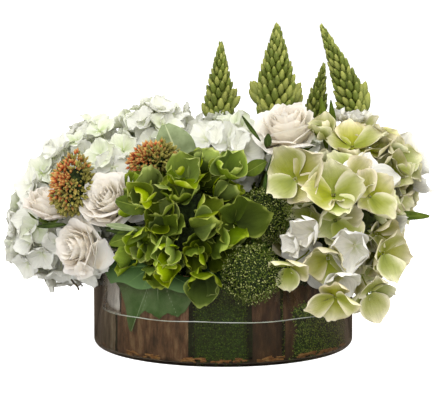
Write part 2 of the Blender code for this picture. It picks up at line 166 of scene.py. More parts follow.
def bud_finish(name, foot, body, tip, odd, share_odd, roughness=0.55):
    """Small waxy buds: painted shade at the foot, where they crowd together, paler at the tip, and some of
    another colour.
    """
    made, tree = blank(name)
    across, along, number = read_mark(tree)
    # the foot colour is painted shade between the buds
    usual = put(tree, "ValToRGB", {0: along}, [(0.0, foot), (0.35, body), (0.8, body), (1.0, tip)])
    other = put(tree, "ValToRGB", {0: along}, [(0.0, foot), (0.4, odd), (1.0, tip)])
    chosen = put(tree, "MapRange", {0: number, 1: 1 - share_odd - 0.08, 2: 1 - share_odd + 0.08})
    colour = put(tree, "Mix", {0: chosen, 6: usual, 7: other}, **BLEND)
    own = put(tree, "TexWhiteNoise", {"W": number}, noise_dimensions="1D")
    value = put(tree, "MapRange", {0: own, 3: 0.75, 4: 1.2})
    final = put(tree, "HueSaturation", {"Value": value, "Color": colour})
    ridged = put(tree, "Math", {0: across, 1: 9.42}, operation="MULTIPLY")
    ridge = put(tree, "Math", {0: ridged}, operation="SINE")
    bump = put(tree, "Bump", {"Height": ridge, "Strength": 0.3, "Distance": 0.3 * MM})
    through = put(tree, "BsdfTranslucent", {"Color": final})
    return grow_skin(made, final, bump, through, 0.12, roughness, 0.4)


def leaf_finish(name, dark, pale, vein, roughness, tail=None):
    """A leaf blade: mottled between its veins, with a satin skin. tail is a colour that it fades to at its
    end."""
    made, tree = blank(name)
    _, along, ribs = read_mark(tree)
    place = put(tree, "TexCoord").outputs["Object"]
    patches = put(tree, "TexNoise", {"Vector": place, "Scale": 1 / (14 * MM), "Detail": 4.0})
    tones = put(tree, "ValToRGB", {0: patches}, [(0.35, dark), (0.7, pale)])
    if tail:
        fade = put(tree, "MapRange", {0: along, 1: 0.5, 2: 1.0})
        tones = put(tree, "Mix", {0: fade, 6: tones, 7: rgb(tail)}, **BLEND)
    lines = put(tree, "ValToRGB", {0: ribs}, [(0.55, 0.0), (0.95, 1.0)])
    colour = put(tree, "Mix", {0: lines, 6: tones, 7: rgb(vein)}, **BLEND)
    fine = put(tree, "TexNoise", {"Vector": place, "Scale": 1 / (1.6 * MM), "Detail": 3.0})
    bump = put(tree, "Bump", {"Height": fine, "Strength": 0.35, "Distance": 0.5 * MM})
    through = put(tree, "BsdfTranslucent", {"Color": colour})
    return grow_skin(made, colour, bump, through, 0.2, roughness, 0.2)


def mottled_finish(name, dark, middle, pale, patch, roughness, relief, stretch=(1, 1, 1), dry=None):
    """A natural surface in three tones. patch is the size of a patch in metres, and stretch draws it out. dry
    is the paler colour that it takes where it stands above the water."""
    made, tree = blank(name)
    place = put(tree, "TexCoord").outputs["Object"]
    drawn = put(tree, "VectorMath", {0: place, 1: stretch}, operation="MULTIPLY")
    coarse = put(tree, "TexNoise", {"Vector": drawn, "Scale": 1 / patch, "Detail": 6.0, "Roughness": 0.62})
    fine = put(tree, "TexNoise", {"Vector": drawn, "Scale": 5 / patch, "Detail": 4.0, "Roughness": 0.6})
    tones = put(tree, "ValToRGB", {0: coarse}, [(0.32, dark), (0.5, middle), (0.7, pale)])
    if dry:
        height = put(tree, "SeparateXYZ", {0: place}).outputs[2]
        out = put(tree, "MapRange", {0: height, 1: WATER_HEIGHT - 3 * MM, 2: WATER_HEIGHT + 3 * MM, 4: 0.85})
        tones = put(tree, "Mix", {0: out, 6: tones, 7: rgb(dry)}, **BLEND)
    grain = put(tree, "ValToRGB", {0: fine}, [(0.3, 0.6), (0.6, 1.0), (0.75, 1.15)])
    colour = put(tree, "Mix", {0: 0.8, 6: tones, 7: grain}, **TIMES)
    both = put(tree, "Math", {0: coarse, 1: fine}, operation="ADD")
    bump = put(tree, "Bump", {"Height": both, "Strength": 0.8, "Distance": relief})
    skin = put(tree, "BsdfPrincipled", {"Base Color": colour, "Roughness": roughness, "Normal": bump})
    put(tree, "OutputMaterial", {0: skin})
    return made


def clear_finish(name, tint, ior):
    """Clear glass or water. Lamps shine through it, as they do through a clear bowl's thin wall."""
    made, tree = blank(name)
    place = put(tree, "TexCoord").outputs["Object"]
    waves = put(tree, "TexNoise", {"Vector": place, "Scale": 1 / (60 * MM), "Detail": 1.0})
    bump = put(tree, "Bump", {"Height": waves, "Strength": 0.25, "Distance": 0.3 * MM})
    colour = rgb(tint)
    feeds = {"Base Color": colour, "Roughness": 0.0, "IOR": ior, "Transmission Weight": 1.0, "Normal": bump}
    clear = put(tree, "BsdfPrincipled", feeds)
    passing = put(tree, "BsdfTransparent", {0: colour})
    shadow = put(tree, "LightPath").outputs["Is Shadow Ray"]
    put(tree, "OutputMaterial", {0: put(tree, "MixShader", {0: shadow, 1: clear, 2: passing})})
    return made


def waterline_glint_finish(name, tint, share):
    """A painted highlight: the curved edge of the water against the glass, pale, glossy, glowing faintly
    though it is no lamp, and see-through here and there.
    """
    made, tree = blank(name)
    place = put(tree, "TexCoord").outputs["Object"]
    breaks = put(tree, "TexNoise", {"Vector": place, "Scale": 1 / (25 * MM), "Detail": 2.0})
    held = put(tree, "MapRange", {0: breaks, 1: 0.35, 2: 0.65, 3: share * 0.4, 4: share})
    colour = rgb(tint)
    # the emission is painted light
    feeds = {"Base Color": colour, "Roughness": 0.15, "Emission Color": colour, "Emission Strength": 0.3}
    skin = put(tree, "BsdfPrincipled", feeds)
    clear = put(tree, "BsdfTransparent")
    put(tree, "OutputMaterial", {0: put(tree, "MixShader", {0: held, 1: clear, 2: skin})})
    return made


PETALS = {
    # white hydrangea: chalky petals that go mint green towards the floret's eye
    "white_petals": {
        "colours": [(0.05, "#dfe5bc"), (0.35, "#f6f6ec"), (1.0, "#fafaf6")],
        "odd": [(0.05, "#ccd99a"), (0.45, "#ebf0d6"), (1.0, "#f7f8ee")],
        "share_odd": 0.34,
        "glow": 0.5,
        "lit": "#fffff6",
        "vein": 0.4,
        "values": (0.92, 1.01),
        "shine": 0.2,
    },
    # green hydrangea: leathery olive petals, limes among them, with a paler rim; near black at the eye,
    # partly their own deeper green and partly painted shade
    "green_petals": {
        "colours": [(0.05, "#243002"), (0.4, "#405004"), (0.86, "#586b09"), (1.0, "#9aa838")],
        "odd": [(0.05, "#485808"), (0.5, "#6d830c"), (0.9, "#869b1a"), (1.0, "#bcc65a")],
        "share_odd": 0.38,
        "glow": 0.22,
        "lit": "#fff496",
        "values": (0.6, 1.12),
        "hues": 0.010,
        "shine": 0.07,
    },
    # cream-edged hydrangea: yellow-green petals, some florets all white
    "variegated_petals": {
        "colours": [(0.05, "#868f2c"), (0.36, "#a3a840"), (0.66, "#c6c67c"), (0.95, "#f4eecb")],
        "odd": [(0.05, "#d5d8a8"), (0.3, "#f3f1e6"), (1.0, "#fcfbf8")],
        "share_odd": 0.24,
        "glow": 0.34,
        "lit": "#fffbd0",
        "values": (0.74, 1.06),
        "hues": 0.022,
        "shine": 0.12,
    },
    # garden rose: velvety cream, warmer deep inside
    "rose_petals": {
        "colours": [(0.05, "#f3ead0"), (0.3, "#fdfaf3"), (0.7, "#fefdfa"), (1.0, "#fffefd")],
        "odd": [(0.05, "#f4e8d2"), (0.4, "#fdf8f2"), (1.0, "#fefcf9")],
        "share_odd": 0.4,
        "glow": 0.6,
        "lit": "#fffcf4",
        "vein": 0.15,
        "values": (1.0, 1.04),
        "shine": 0.15,
    },
}

BUDS = {
    # stonecrop: olive buds, rust-red where the sun has caught them
    "sedum_buds": ("#3e4416", "#857f3a", "#c6ae60", "#b24826", 0.40),
    # pompon: fine pale dots over dark green, near black at the buds' feet as painted shade
    "pompon_buds": ("#141c06", "#4e6112", "#a6ac48", "#c4c88c", 0.22, 0.6),
    # flower spike: plump satin buds, with painted shade where they overlap, and straw green at their tips
    "spike_buds": ("#2b370b", "#65712a", "#97994c", "#7d863e", 0.4, 0.5),
    # wet cushion moss: deep green with fine light speckles
    "moss": ("#0e1a04", "#2c480a", "#66841e", "#486812", 0.4, 0.8),
    # the drier moss at the right: the same, yellower and lighter
    "bright_moss": ("#24360e", "#66862c", "#b0c05a", "#8ba03e", 0.4, 0.8),
}

ALONG_THE_GRAIN = (1, 1, 0.25)
MOTTLED = {
    # the mat that the moss grows from: matt, darker than its tufts
    "moss_bed": ("#142406", "#27400d", "#3f6018", 3 * MM, 0.9, 0.8 * MM),
    # bark in water: red-brown, with long upright streaks
    "bark": ("#3a281a", "#7b553e", "#b38c68", 9 * MM, 0.75, 1.2 * MM, ALONG_THE_GRAIN),
    # bark in the shade of the flowers, darkened with painted shade: nearly black-brown
    "shade_painted_bark": ("#20140c", "#462d1b", "#6e4e33", 9 * MM, 0.75, 1.2 * MM, ALONG_THE_GRAIN),
    # grey-brown bark, near white above the water
    "pale_topped_bark": ("#5a4636", "#98836e", "#bca995", 9 * MM, 0.8, 1.2 * MM, (1, 1, 0.2), "#f8f0e8"),
    # inner bark crumbs: orange-brown
    "bark_chips": ("#7a4a28", "#a8703e", "#d09c62", 5 * MM, 0.7, 0.4 * MM),
    # floral foam: dull dark green, with an open grain
    "foam": ("#12200c", "#1f3616", "#2f4c20", 2.2 * MM, 0.95, 0.3 * MM),
    # cut stems: smooth mid green, faintly streaked
    "stem": ("#34501a", "#54742a", "#7b9a48", 5 * MM, 0.5, 0.2 * MM, (1, 1, 0.3)),
    # the tangle of stalks in green heads, stonecrop and pompons, painted near black as the shade deep among
    # them
    "dark_shade_core": ("#0f1705", "#202d0a", "#36470f", 7 * MM, 0.85, 1.0 * MM),
    # the tangle of stalks in cream-edged heads, painted dark olive as the shade deep among them
    "olive_shade_core": ("#2c360f", "#4b5a1e", "#6c7a34", 7 * MM, 0.85, 1.0 * MM),
    # the tangle of stalks in white heads, painted as pale as their petals' backs for the soft shade among
    # them
    "pale_shade_core": ("#bcc69e", "#d8debe", "#eaeeda", 7 * MM, 0.85, 1.0 * MM),
    # dry twigs and a withered leaf tip: matt brown-black
    "twig": ("#1c150c", "#3b3018", "#5a4c2a", 4 * MM, 0.8, 0.2 * MM),
}

LEAVES = {
    # leathery leaf blades in shade: dark olive
    "dark_leaf": ("#27340f", "#42521c", "#5c6c30", 0.6),
    # the front leaf where it hangs over the rim: rich green, fading at its hem to a greyer green that meets
    # the painted light of its part behind the glass
    "front_leaf": ("#213b10", "#395822", "#627f42", 0.55, "#5a7745"),
    # the front leaf pressed against the glass: painted paler for the light and the grey glass sheen on it,
    # with light veins
    "front_leaf_painted_light": ("#486a30", "#76915c", "#aabc8e", 0.5),
    # young hydrangea leaves: olive with a satin skin
    "olive_leaf": ("#3c4d0e", "#62721c", "#7a8834", 0.5),
    # downy leaf backs: grey-green and matt
    "grey_leaf": ("#6c7850", "#98a47a", "#b4bb92", 0.6),
}

FINISH = {
    # pressed soda-lime glass, very slightly grey
    "clear_glass": clear_finish("clear_glass", "#f7f9f8", 1.5),
    # flower water, faintly yellow from the bark
    "water": clear_finish("water", "#eef0e4", 1.33),
    # the water's edge: a thin pale line of painted light
    "waterline_glint": waterline_glint_finish("waterline_glint", "#e9ece4", 0.75),
}
FINISH.update({name: petal_finish(name, **look) for name, look in PETALS.items()})
FINISH.update({name: bud_finish(name, *look) for name, look in BUDS.items()})
FINISH.update({name: mottled_finish(name, *look) for name, look in MOTTLED.items()})
FINISH.update({name: leaf_finish(name, *look) for name, look in LEAVES.items()})


# ---------------------------------------------------------------- shapes as arrays


class Shape:
    """Points with their petal marks, and faces."""

    def __init__(self, points, across, along, quads, triangles=()):
        self.points = np.asarray(points, float).reshape(-1, 3)
        self.across = np.broadcast_to(across, len(self.points))
        self.along = np.broadcast_to(along, len(self.points))
        self.quads = np.asarray(quads, int).reshape(-1, 4)
        self.triangles = np.asarray(triangles, int).reshape(-1, 3)


GRIDS = {}


def grid_faces(rows, columns):
    """The faces of a thin closed piece with a grid on each side and one shared edge."""
    if (rows, columns) not in GRIDS:
        front = np.arange(rows * columns).reshape(rows, columns)
        inner = np.zeros((rows, columns), bool)
        inner[1:-1, 1:-1] = True
        back = front.copy()
        back[inner] = rows * columns + np.arange(inner.sum())
        faces = []
        for side, order in ((front, 1), (back, -1)):
            square = np.stack([side[:-1, :-1], side[:-1, 1:], side[1:, 1:], side[1:, :-1]], -1).reshape(-1, 4)
            faces.append(square[:, ::order])
        GRIDS[rows, columns] = inner, np.concatenate(faces)
    return GRIDS[rows, columns]


def sheet(points, thickness=PETAL_THICKNESS, ribs=None):
    """A thin closed piece from a grid of points: rows run along it, columns across it."""
    rows, columns = points.shape[:2]
    normal = np.cross(np.gradient(points, axis=1), np.gradient(points, axis=0))
    normal /= np.maximum(np.linalg.norm(normal, axis=-1, keepdims=True), 1e-12)
    inner, faces = grid_faces(rows, columns)
    half = normal * inner[..., None] * thickness / 2
    across = np.broadcast_to(np.linspace(-1, 1, columns)[None, :], (rows, columns))
    along = np.broadcast_to(np.linspace(0, 1, rows)[:, None], (rows, columns))
    every = np.concatenate([(points + half).reshape(-1, 3), (points - half)[inner]])
    made = Shape(
        every,
        np.concatenate([across.ravel(), across[inner]]),
        np.concatenate([along.ravel(), along[inner]]),
        faces,
    )
    if ribs is not None:
        made.ribs = np.concatenate([ribs.ravel(), ribs[inner]])
    return made


def tube_faces(count, sides):
    """Faces of a row of rings that is closed at both ends: by the first of its points, and by the last."""
    quads = []
    for low in range(1, 1 + (count - 1) * sides, sides):
        for s in range(sides):
            after = (s + 1) % sides
            quads.append((low + s, low + after, low + sides + after, low + sides + s))
    last = 1 + (count - 1) * sides
    ends = [(0, 1 + (s + 1) % sides, 1 + s) for s in range(sides)]
    ends += [(last + sides, last + s, last + (s + 1) % sides) for s in range(sides)]
    return quads, ends


def lathe(profile, sides, ridges=0, ridge=0.0):
    """A closed turned shape on Z from (radius, height) pairs between its two end points."""
    angles = np.arange(sides) * math.tau / sides
    swell = 1 + ridge * np.cos(ridges * angles)
    rings = [
        np.stack([r * swell * np.cos(angles), r * swell * np.sin(angles), np.full(sides, z)], -1)
        for r, z in profile[1:-1]
    ]
    low, high = profile[0][1], profile[-1][1]
    points = np.concatenate([[(0, 0, low)], *rings, [(0, 0, high)]])
    around = np.concatenate([[0], np.tile(np.abs(angles / math.pi - 1) * 2 - 1, len(rings)), [0]])
    return Shape(points, around, (points[:, 2] - low) / (high - low), *tube_faces(len(rings), sides))


def rod(path, radii, sides=5):
    """A closed tube along a path of points."""
    path = [Vector(p) for p in path]
    side = None
    rings = []
    for k, centre in enumerate(path):
        along = (path[min(k + 1, len(path) - 1)] - path[max(k - 1, 0)]).normalized()
        side = along.orthogonal() if side is None else side
        side = (side - along * side.dot(along)).normalized()
        other = along.cross(side)
        radius = radii if isinstance(radii, float) else radii[k]
        for s in range(sides):
            turn = math.tau * s / sides
            rings.append(centre + (side * math.cos(turn) + other * math.sin(turn)) * radius)
    count = len(path)
    along = [0] + [k / (count - 1) for k in range(count) for _ in range(sides)] + [1]
    return Shape([path[0], *rings, path[-1]], 0.0, np.array(along), *tube_faces(count, sides))


def blade(base, tip, half_width, looks, arch, rows=14, columns=13, thickness=0.5 * MM):
    """A pointed leaf blade, folded a little along its midrib. Sizes are in metres."""
    base, tip = Vector(base), Vector(tip)
    along = tip - base
    normal = (Vector(looks) - along * Vector(looks).dot(along) / along.length_squared).normalized()
    across = along.cross(normal).normalized()
    points = np.zeros((rows, columns, 3))
    marks = np.zeros((rows, columns))
    for r in range(rows):
        t = r / (rows - 1)
        half = half_width * (0.06 + 0.94 * math.sin(math.pi * min(1, t * 0.94 + 0.03)) ** 0.8)
        for c in range(columns):
            s = 2 * c / (columns - 1) - 1
            fold = -0.25 * half * (1 - abs(s)) + 0.02 * along.length * math.sin(9 * t + 2 * s)
            lifted = arch * math.sin(math.pi * t) + fold
            points[r, c] = base + along * t + across * half * s + normal * lifted
            marks[r, c] = max(0, 1 - abs(s) * 6)
    return sheet(points, thickness, marks)


class Mass:
    """One piece gathered from many small closed shapes."""

    def __init__(self):
        self.points, self.marks, self.quads, self.triangles, self.size = [], [], [], [], 0

    def add(self, shape, place=None, number=0.0):
        points = shape.points
        if place is not None:
            points = points @ np.array(place.to_3x3()).T + np.array(place.translation)
        third = getattr(shape, "ribs", np.full(len(points), number))
        self.points.append(points)
        self.marks.append(np.stack([shape.across, shape.along, third], -1))
        self.quads.append(shape.quads + self.size)
        self.triangles.append(shape.triangles + self.size)
        self.size += len(points)

    def piece(self, name, finish, slot=None, nodes=(), sharp=None):
        """The mesh as one object of the visual model. nodes are the frame's solids that it stands for."""
        mesh = bpy.data.meshes.new(name)
        faces = np.concatenate(self.quads).tolist() + np.concatenate(self.triangles).tolist()
        mesh.from_pydata(np.concatenate(self.points).tolist(), [], faces)
        marks = mesh.attributes.new("petal", "FLOAT_VECTOR", "POINT")
        marks.data.foreach_set("vector", np.concatenate(self.marks).astype(np.float32).ravel())
        mesh.shade_smooth()
        if sharp:
            mesh.set_sharp_from_angle(angle=math.radians(sharp))
        mesh.materials.append(FINISH[finish])
        made = bpy.data.objects.new(name, mesh)
        bpy.context.scene.collection.objects.link(made)
        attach(made, "root")
        if nodes:
            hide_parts(*nodes)


def one_piece(shape, name, finish, slot=None, nodes=(), sharp=None, number=0.0):
    """A single shape as one object of the visual model."""
    mass = Mass()
    mass.add(shape, None, number)
    mass.piece(name, finish, slot, nodes, sharp)


def stand(place, facing, twist=0.0, scale=1.0):
    """The matrix that puts a shape at a place with its own Z along facing."""
    turn = Vector(facing).to_track_quat("Z", "Y").to_matrix() @ Matrix.Rotation(twist, 3, "Z")
    return Matrix.Translation(place) @ (turn * scale).to_4x4()


def spread(count):
    """Directions spaced evenly all round."""
    for k in range(count):
        height = 1 - (2 * k + 1) / count
        ring = math.sqrt(1 - height * height)
        turn = GOLDEN_TURN * k
        yield Vector((ring * math.cos(turn), ring * math.sin(turn), height))


def jog(amount):
    """A small random vector."""
    return Vector([DICE.uniform(-amount, amount) for _ in range(3)])


# ---------------------------------------------------------------- flower heads of the frame


class Head:
    """A flower head of the frame: its middle, its outer surface, and the way it faces."""

    def __init__(self, node):
        self.node = node
        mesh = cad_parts[node].data
        low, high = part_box(node)
        self.middle = (low + high) / 2
        self.radius = sum(high - low) / 6
        self.surface = BVHTree.FromPolygons(
            [v.co.copy() for v in mesh.vertices], [tuple(p.vertices) for p in mesh.polygons]
        )
        self.facing = (self.middle - HEART).normalized()

    def skin(self, way):
        """The outermost point of the head in a direction, and the way that its surface faces there."""
        far = self.middle + way * 0.3
        point, normal, _, _ = self.surface.ray_cast(far, -way)
        return (point, normal) if point else (self.middle + way * self.radius, way)

    def holds(self, point, depth=0.0):
        """True if a point lies in the head, deeper than depth."""
        nearest, normal, _, distance = self.surface.find_nearest(point)
        return (point - nearest).dot(normal) < 0 and distance > depth


KINDS = ("hydrangea", "rose", "sedum", "pompon")
HEADS = {
    node: Head(node)
    for node in sorted(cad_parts)
    if any(kind in node for kind in KINDS) and "stem" not in node and "leaf" not in node
}


def pressed(head, point, gap):
    """True where a head's surface presses on its neighbour's."""
    return any(
        other.surface.find_nearest(point)[3] < gap for other in HEADS.values() if other is not head
    )


def inside_bowl(point, margin=0.0):
    """True for a point in the bowl or in its glass."""
    beside = math.hypot(point.x, point.y) < BOWL_RADIUS + margin
    return beside and point.z < RIM_HEIGHT + margin


# ---------------------------------------------------------------- hydrangea

# How one sort of hydrangea floret grows: its petals' length, their half width as a share of it, their slope
# at the eye and how much it changes to the tip, how far their sides curl up, the waves of their rim, how
# pointed they are, the size of the bead in the middle, how far florets look away from straight out, points
# across and along a petal, and the finish of the tangle behind the florets, whose colour is painted shade.
# Angles are in radians.
Bloom = namedtuple("Bloom", "size breadth lift curl cup ripple tip eye turn grid core")

BLOOMS = {
    "white": Bloom(17.5 * MM, 0.62, 0.12, 0.5, 0.18, 0.095, 0.16, 1.5 * MM, 0.32, 7, "pale_shade_core"),
    "green": Bloom(27 * MM, 0.60, 0.42, 1.0, 0.42, 0.085, 0.10, 1.8 * MM, 0.50, 9, "dark_shade_core"),
    "rose": Bloom(24 * MM, 0.46, 0.1, 0.7, 0.45, 0.05, 0.05, 1.0 * MM, 0.3, 9, "pale_shade_core"),
    "variegated": Bloom(27 * MM, 0.62, 0.22, 0.7, 0.38, 0.08, 0.10, 1.1 * MM, 0.42, 9, "olive_shade_core"),
}

# Florets set one by one at the front: head, place in mm, the way they look, petal length in mm, how far they
# lie open (below 0 closed), and their number (near 1 takes the odd colours).
FEATURED = [
    ("green_hydrangea_front", (-69, -138, 154), (-0.35, -0.9, 0.3), 24, -0.35, 0.95),
    ("green_hydrangea_front", (-34, -126, 173), (0.1, -0.75, 0.6), 27, -0.1, 0.8),
    ("green_hydrangea_front", (3, -116, 176), (0.3, -0.75, 0.55), 27, -0.2, 0.9),
    ("green_hydrangea_front", (-20, -146, 131), (0.7, -0.6, 0.3), 27, -0.5, 0.1),
    ("green_hydrangea_front", (-48, -146, 108), (-0.5, -0.7, -0.1), 26, -0.4, 0.7),
    ("green_hydrangea_front", (-18, -148, 82), (0.1, -0.8, -0.5), 27, -0.1, 0.3),
    ("green_hydrangea_front", (13, -138, 130), (0.35, -0.93, 0.0), 31, 0.2, 0.2),
    ("green_hydrangea_front", (-50, -142, 95), (-0.4, -0.8, -0.2), 24, -0.4, 0.85),
    ("variegated_hydrangea_front", (60, -108, 170), (-0.4, -0.85, 0.35), 33, 0.0, 0.40),
    ("variegated_hydrangea_front", (97, -122, 158), (0.0, -0.85, 0.5), 33, 0.0, 0.1),
    ("variegated_hydrangea_front", (134, -108, 155), (0.4, -0.8, 0.4), 31, 0.1, 0.3),
    ("variegated_hydrangea_front", (74, -130, 122), (-0.6, -0.7, 0.1), 27, -0.45, 1.0),
    ("variegated_hydrangea_front", (60, -132, 113), (-0.7, -0.7, -0.2), 17, -0.2, 1.0),
    ("variegated_hydrangea_front", (112, -134, 110), (-0.35, -0.9, 0.0), 29, -0.35, 1.0),
    ("variegated_hydrangea_front", (104, -136, 80), (0.1, -0.75, -0.55), 22, -0.1, 1.0),
    ("variegated_hydrangea_front", (149, -105, 98), (0.6, -0.75, -0.2), 30, 0.0, 0.2),
    ("variegated_hydrangea_front", (90, -134, 96), (-0.2, -0.9, -0.3), 29, -0.2, 0.45),
    ("variegated_hydrangea_front", (97, -139, 60), (-0.1, -0.7, -0.7), 27, 0.2, 0.3),
    ("variegated_hydrangea_front", (133, -122, 62), (0.4, -0.65, -0.6), 27, 0.1, 0.5),
    ("variegated_hydrangea_front", (54, -138, 88), (-0.3, -0.7, -0.6), 24, 0.0, 0.55),
    ("variegated_hydrangea_right", (121, -36, 199), (0.0, -0.55, 0.85), 32, 0.1, 0.15),
    ("variegated_hydrangea_right", (92, -46, 206), (-0.3, -0.4, 0.85), 24, -0.5, 0.6),
    ("variegated_hydrangea_right", (113, 10, 217), (-0.2, -0.3, 1.0), 13, -0.55, 1.0),
    ("variegated_hydrangea_right", (126, 6, 214), (0.1, -0.4, 1.0), 14, -0.5, 0.95),
    ("variegated_hydrangea_right", (138, 12, 215), (0.4, -0.3, 0.9), 13, -0.5, 1.0),
    ("white_hydrangea_left", (-119, -82, 86), (-0.1, -0.8, -0.5), 14, 0.0, 0.2),
    ("white_hydrangea_left", (-128, -70, 74), (-0.2, -0.7, -0.6), 17, 0.1, 0.4),
    ("white_hydrangea_upper_left", (-116, -40, 186), (-0.3, -0.8, 0.5), 18, 0.0, 0.8),
    ("white_hydrangea_upper_left", (-103, -46, 174), (0.1, -0.9, 0.3), 18, 0.0, 0.4),
    ("white_hydrangea_top_left", (-95, -34, 190), (-0.2, -0.8, 0.5), 19, -0.1, 0.9),
    ("white_hydrangea_top_left", (-86, -42, 172), (0.0, -0.9, 0.3), 18, -0.1, 0.2),
    ("white_hydrangea_top", (-4, 16, 215), (0.0, -0.2, 1.0), 10, -0.8, 0.9),
    ("white_hydrangea_top", (-17, -18, 200), (-0.2, -0.7, 0.7), 23, -0.3, 0.1),
    ("white_hydrangea_top", (5, -20, 197), (0.1, -0.75, 0.6), 24, -0.3, 0.2),
    ("white_hydrangea_top", (22, -22, 188), (0.4, -0.75, 0.4), 22, -0.2, 0.5),
]


def sepal(bloom, length, lift, curl, cup, phase):
    """One petal of a floret, growing along Y from the eye and facing Z."""
    across = np.linspace(-1, 1, bloom.grid)[None, :]
    along = np.linspace(0, 1, bloom.grid)[:, None]
    half = bloom.breadth * length * np.sin(np.pi * (0.07 + 0.84 * along**0.9)) ** 0.65
    notch = 0.03 * np.cos(phase + 7 * across) * along**3
    reach = along - (0.10 + bloom.tip * 0.5) * across**2 * along**2 + notch
    slope = lift + curl * reach
    run = length * (np.sin(slope) - math.sin(lift)) / curl
    rise = length * (math.cos(lift) - np.cos(slope)) / curl
    edge = np.maximum(np.abs(across), along) ** 3
    up = cup * half * across**2 * (0.4 + 0.6 * along)
    up = up + bloom.ripple * length * np.sin(phase + 4.2 * across + 3.0 * along) * edge
    up = up - 0.035 * length * np.exp(-((across / 0.25) ** 2)) * np.sin(np.pi * along)
    x = half * across * (1 - 0.25 * cup * across**2) * (1 + 0.05 * np.sin(phase * 3 + 6 * along))
    x = x + 0.05 * length * math.sin(phase * 2) * along**2
    y = run - up * np.sin(slope)
    z = rise + up * np.cos(slope)
    return sheet(np.stack(np.broadcast_arrays(x, y, z), -1))


BEAD = lathe([(0, -1), (0.8, -0.6), (1.0, 0.1), (0.7, 0.8), (0, 1.1)], 6)
BEAD.across, BEAD.along = BEAD.across * 0.1, BEAD.along * 0.15


def add_floret(mass, bloom, place, size, opening, number, free):
    """Four petals in a cross, one pair over the other, and the bead in the middle. opening above 0 lays the
    petals back, below 0 closes them. free tells whether a petal's tip has room."""
    for quarter in range(4):
        turn = quarter * math.pi / 2 + DICE.uniform(-0.16, 0.16)
        length = size * DICE.uniform(0.86, 1.1)
        lift = bloom.lift - opening + DICE.uniform(-0.15, 0.15) + (0.08 if quarter % 2 else 0)
        curl = bloom.curl * DICE.uniform(0.4, 1.4) + 1e-3
        cup = bloom.cup * DICE.uniform(0.4, 1.6)
        phase = DICE.uniform(0, math.tau)
        over = Matrix.Translation((0, 0.05 * size, (quarter % 2) * 0.7 * MM))
        here = place @ Matrix.Rotation(turn, 4, "Z") @ over
        tip = here @ Vector((0, length * math.cos(lift + curl / 2), length * math.sin(lift + curl / 2)))
        if free(tip):
            own = min(1, max(0, number + DICE.uniform(-0.06, 0.06)))
            mass.add(sepal(bloom, length, lift, curl, cup, phase), here, own)
    mass.add(BEAD, place @ Matrix.Scale(bloom.eye, 4), number)


def over_the_rim(point):
    """Where a floret goes that would stand in the glass: hung over the rim, or lifted to rest on the foam."""
    if not inside_bowl(point, 7 * MM):
        return point
    beside = math.hypot(point.x, point.y)
    if beside > BOWL_RADIUS - 30 * MM and point.z > RIM_HEIGHT - 34 * MM:
        out = (BOWL_RADIUS + 8 * MM) / beside
        return Vector((point.x * out, point.y * out, point.z))
    return Vector((point.x, point.y, RIM_HEIGHT + 8 * MM))


def add_placed(mass, row, free):
    """A floret from a list. Returns its root."""
    node, place, looks, size, opening, number = row
    facing = Vector(looks).normalized()
    root = Vector(place) * MM - facing * size * MM * 0.3
    stood = stand(root, facing, DICE.uniform(0, 6))
    add_floret(mass, BLOOMS[node.split("_")[0]], stood, size * MM, opening, number, free)
    return root


def add_stalk(mass, head, root):
    """A thin stalk from the heart of a head to a floret's root."""
    heart = head.middle.lerp(root, 0.35)
    stalk = rod([heart, heart.lerp(root, 0.5) + jog(2 * MM), root], 0.7 * MM, 4)
    stalk.along = stalk.along * 0.1
    mass.add(stalk, None, 0.2)


def make_hydrangea(head, crowd=0.58):
    """A mophead: florets all over the head's surface, a looser layer under them, and a core of stalks whose
    colour is painted shade.
    """
    sort = head.node.split("_")[0]
    bloom = BLOOMS[sort]
    others = [h for h in HEADS.values() if h is not head and "hydrangea" not in h.node]
    near = [h for h in others if (h.middle - head.middle).length < head.radius + h.radius + 2 * bloom.size]

    def free(point):
        return not any(h.holds(point, 1.0 * MM) for h in near) and not inside_bowl(point, 0.5 * MM)

    mass = Mass()
    roots = [add_placed(mass, row, free) for row in FEATURED if row[0] == head.node]
    placed = list(roots)
    count = round(4 * (head.radius / bloom.size) ** 2 / crowd)
    for way in spread(count):
        way = (way + jog(0.16)).normalized()
        point, normal = head.skin(way)
        if pressed(head, point, 3 * MM):
            continue
        point = over_the_rim(point)
        size = bloom.size * DICE.uniform(0.8, 1.12)
        facing = (way * 0.75 + normal * 0.25 + jog(bloom.turn)).normalized()
        root = point - facing * size * (0.22 + 0.3 * math.sin(bloom.curl)) + way * DICE.uniform(-3, 2.5) * MM
        if any((root - other).length < 0.62 * bloom.size for other in placed):
            continue
        stood = stand(root, facing, DICE.uniform(0, 6))
        add_floret(mass, bloom, stood, size, DICE.uniform(-0.3, 0.25), DICE.random(), free)
        roots.append(root)
    for way in spread(count if sort == "white" else count // 2):
        point, _ = head.skin((way + jog(0.2)).normalized())
        root = head.middle.lerp(point, DICE.uniform(0.66, 0.82))
        if not inside_bowl(root, 4 * MM):
            facing = (way + jog(0.6)).normalized()
            stood = stand(root, facing, DICE.uniform(0, 6))
            add_floret(mass, bloom, stood, bloom.size * 0.8, 0.0, DICE.uniform(0, 0.6), free)
    for root in roots:
        add_stalk(mass, head, root)
    mass.piece(head.node + "_florets", sort + "_petals", None, [head.node], sharp=70)
    make_core(head, bloom.core, sort + "_petals", 0.74 if sort == "white" else 0.6)


BALL = bmesh.new()
bmesh.ops.create_icosphere(BALL, subdivisions=4, radius=1)
BALL_WAYS = [v.co.normalized() for v in BALL.verts]
BALL_FACES = [tuple(v.index for v in f.verts) for f in BALL.faces]
BALL.free()


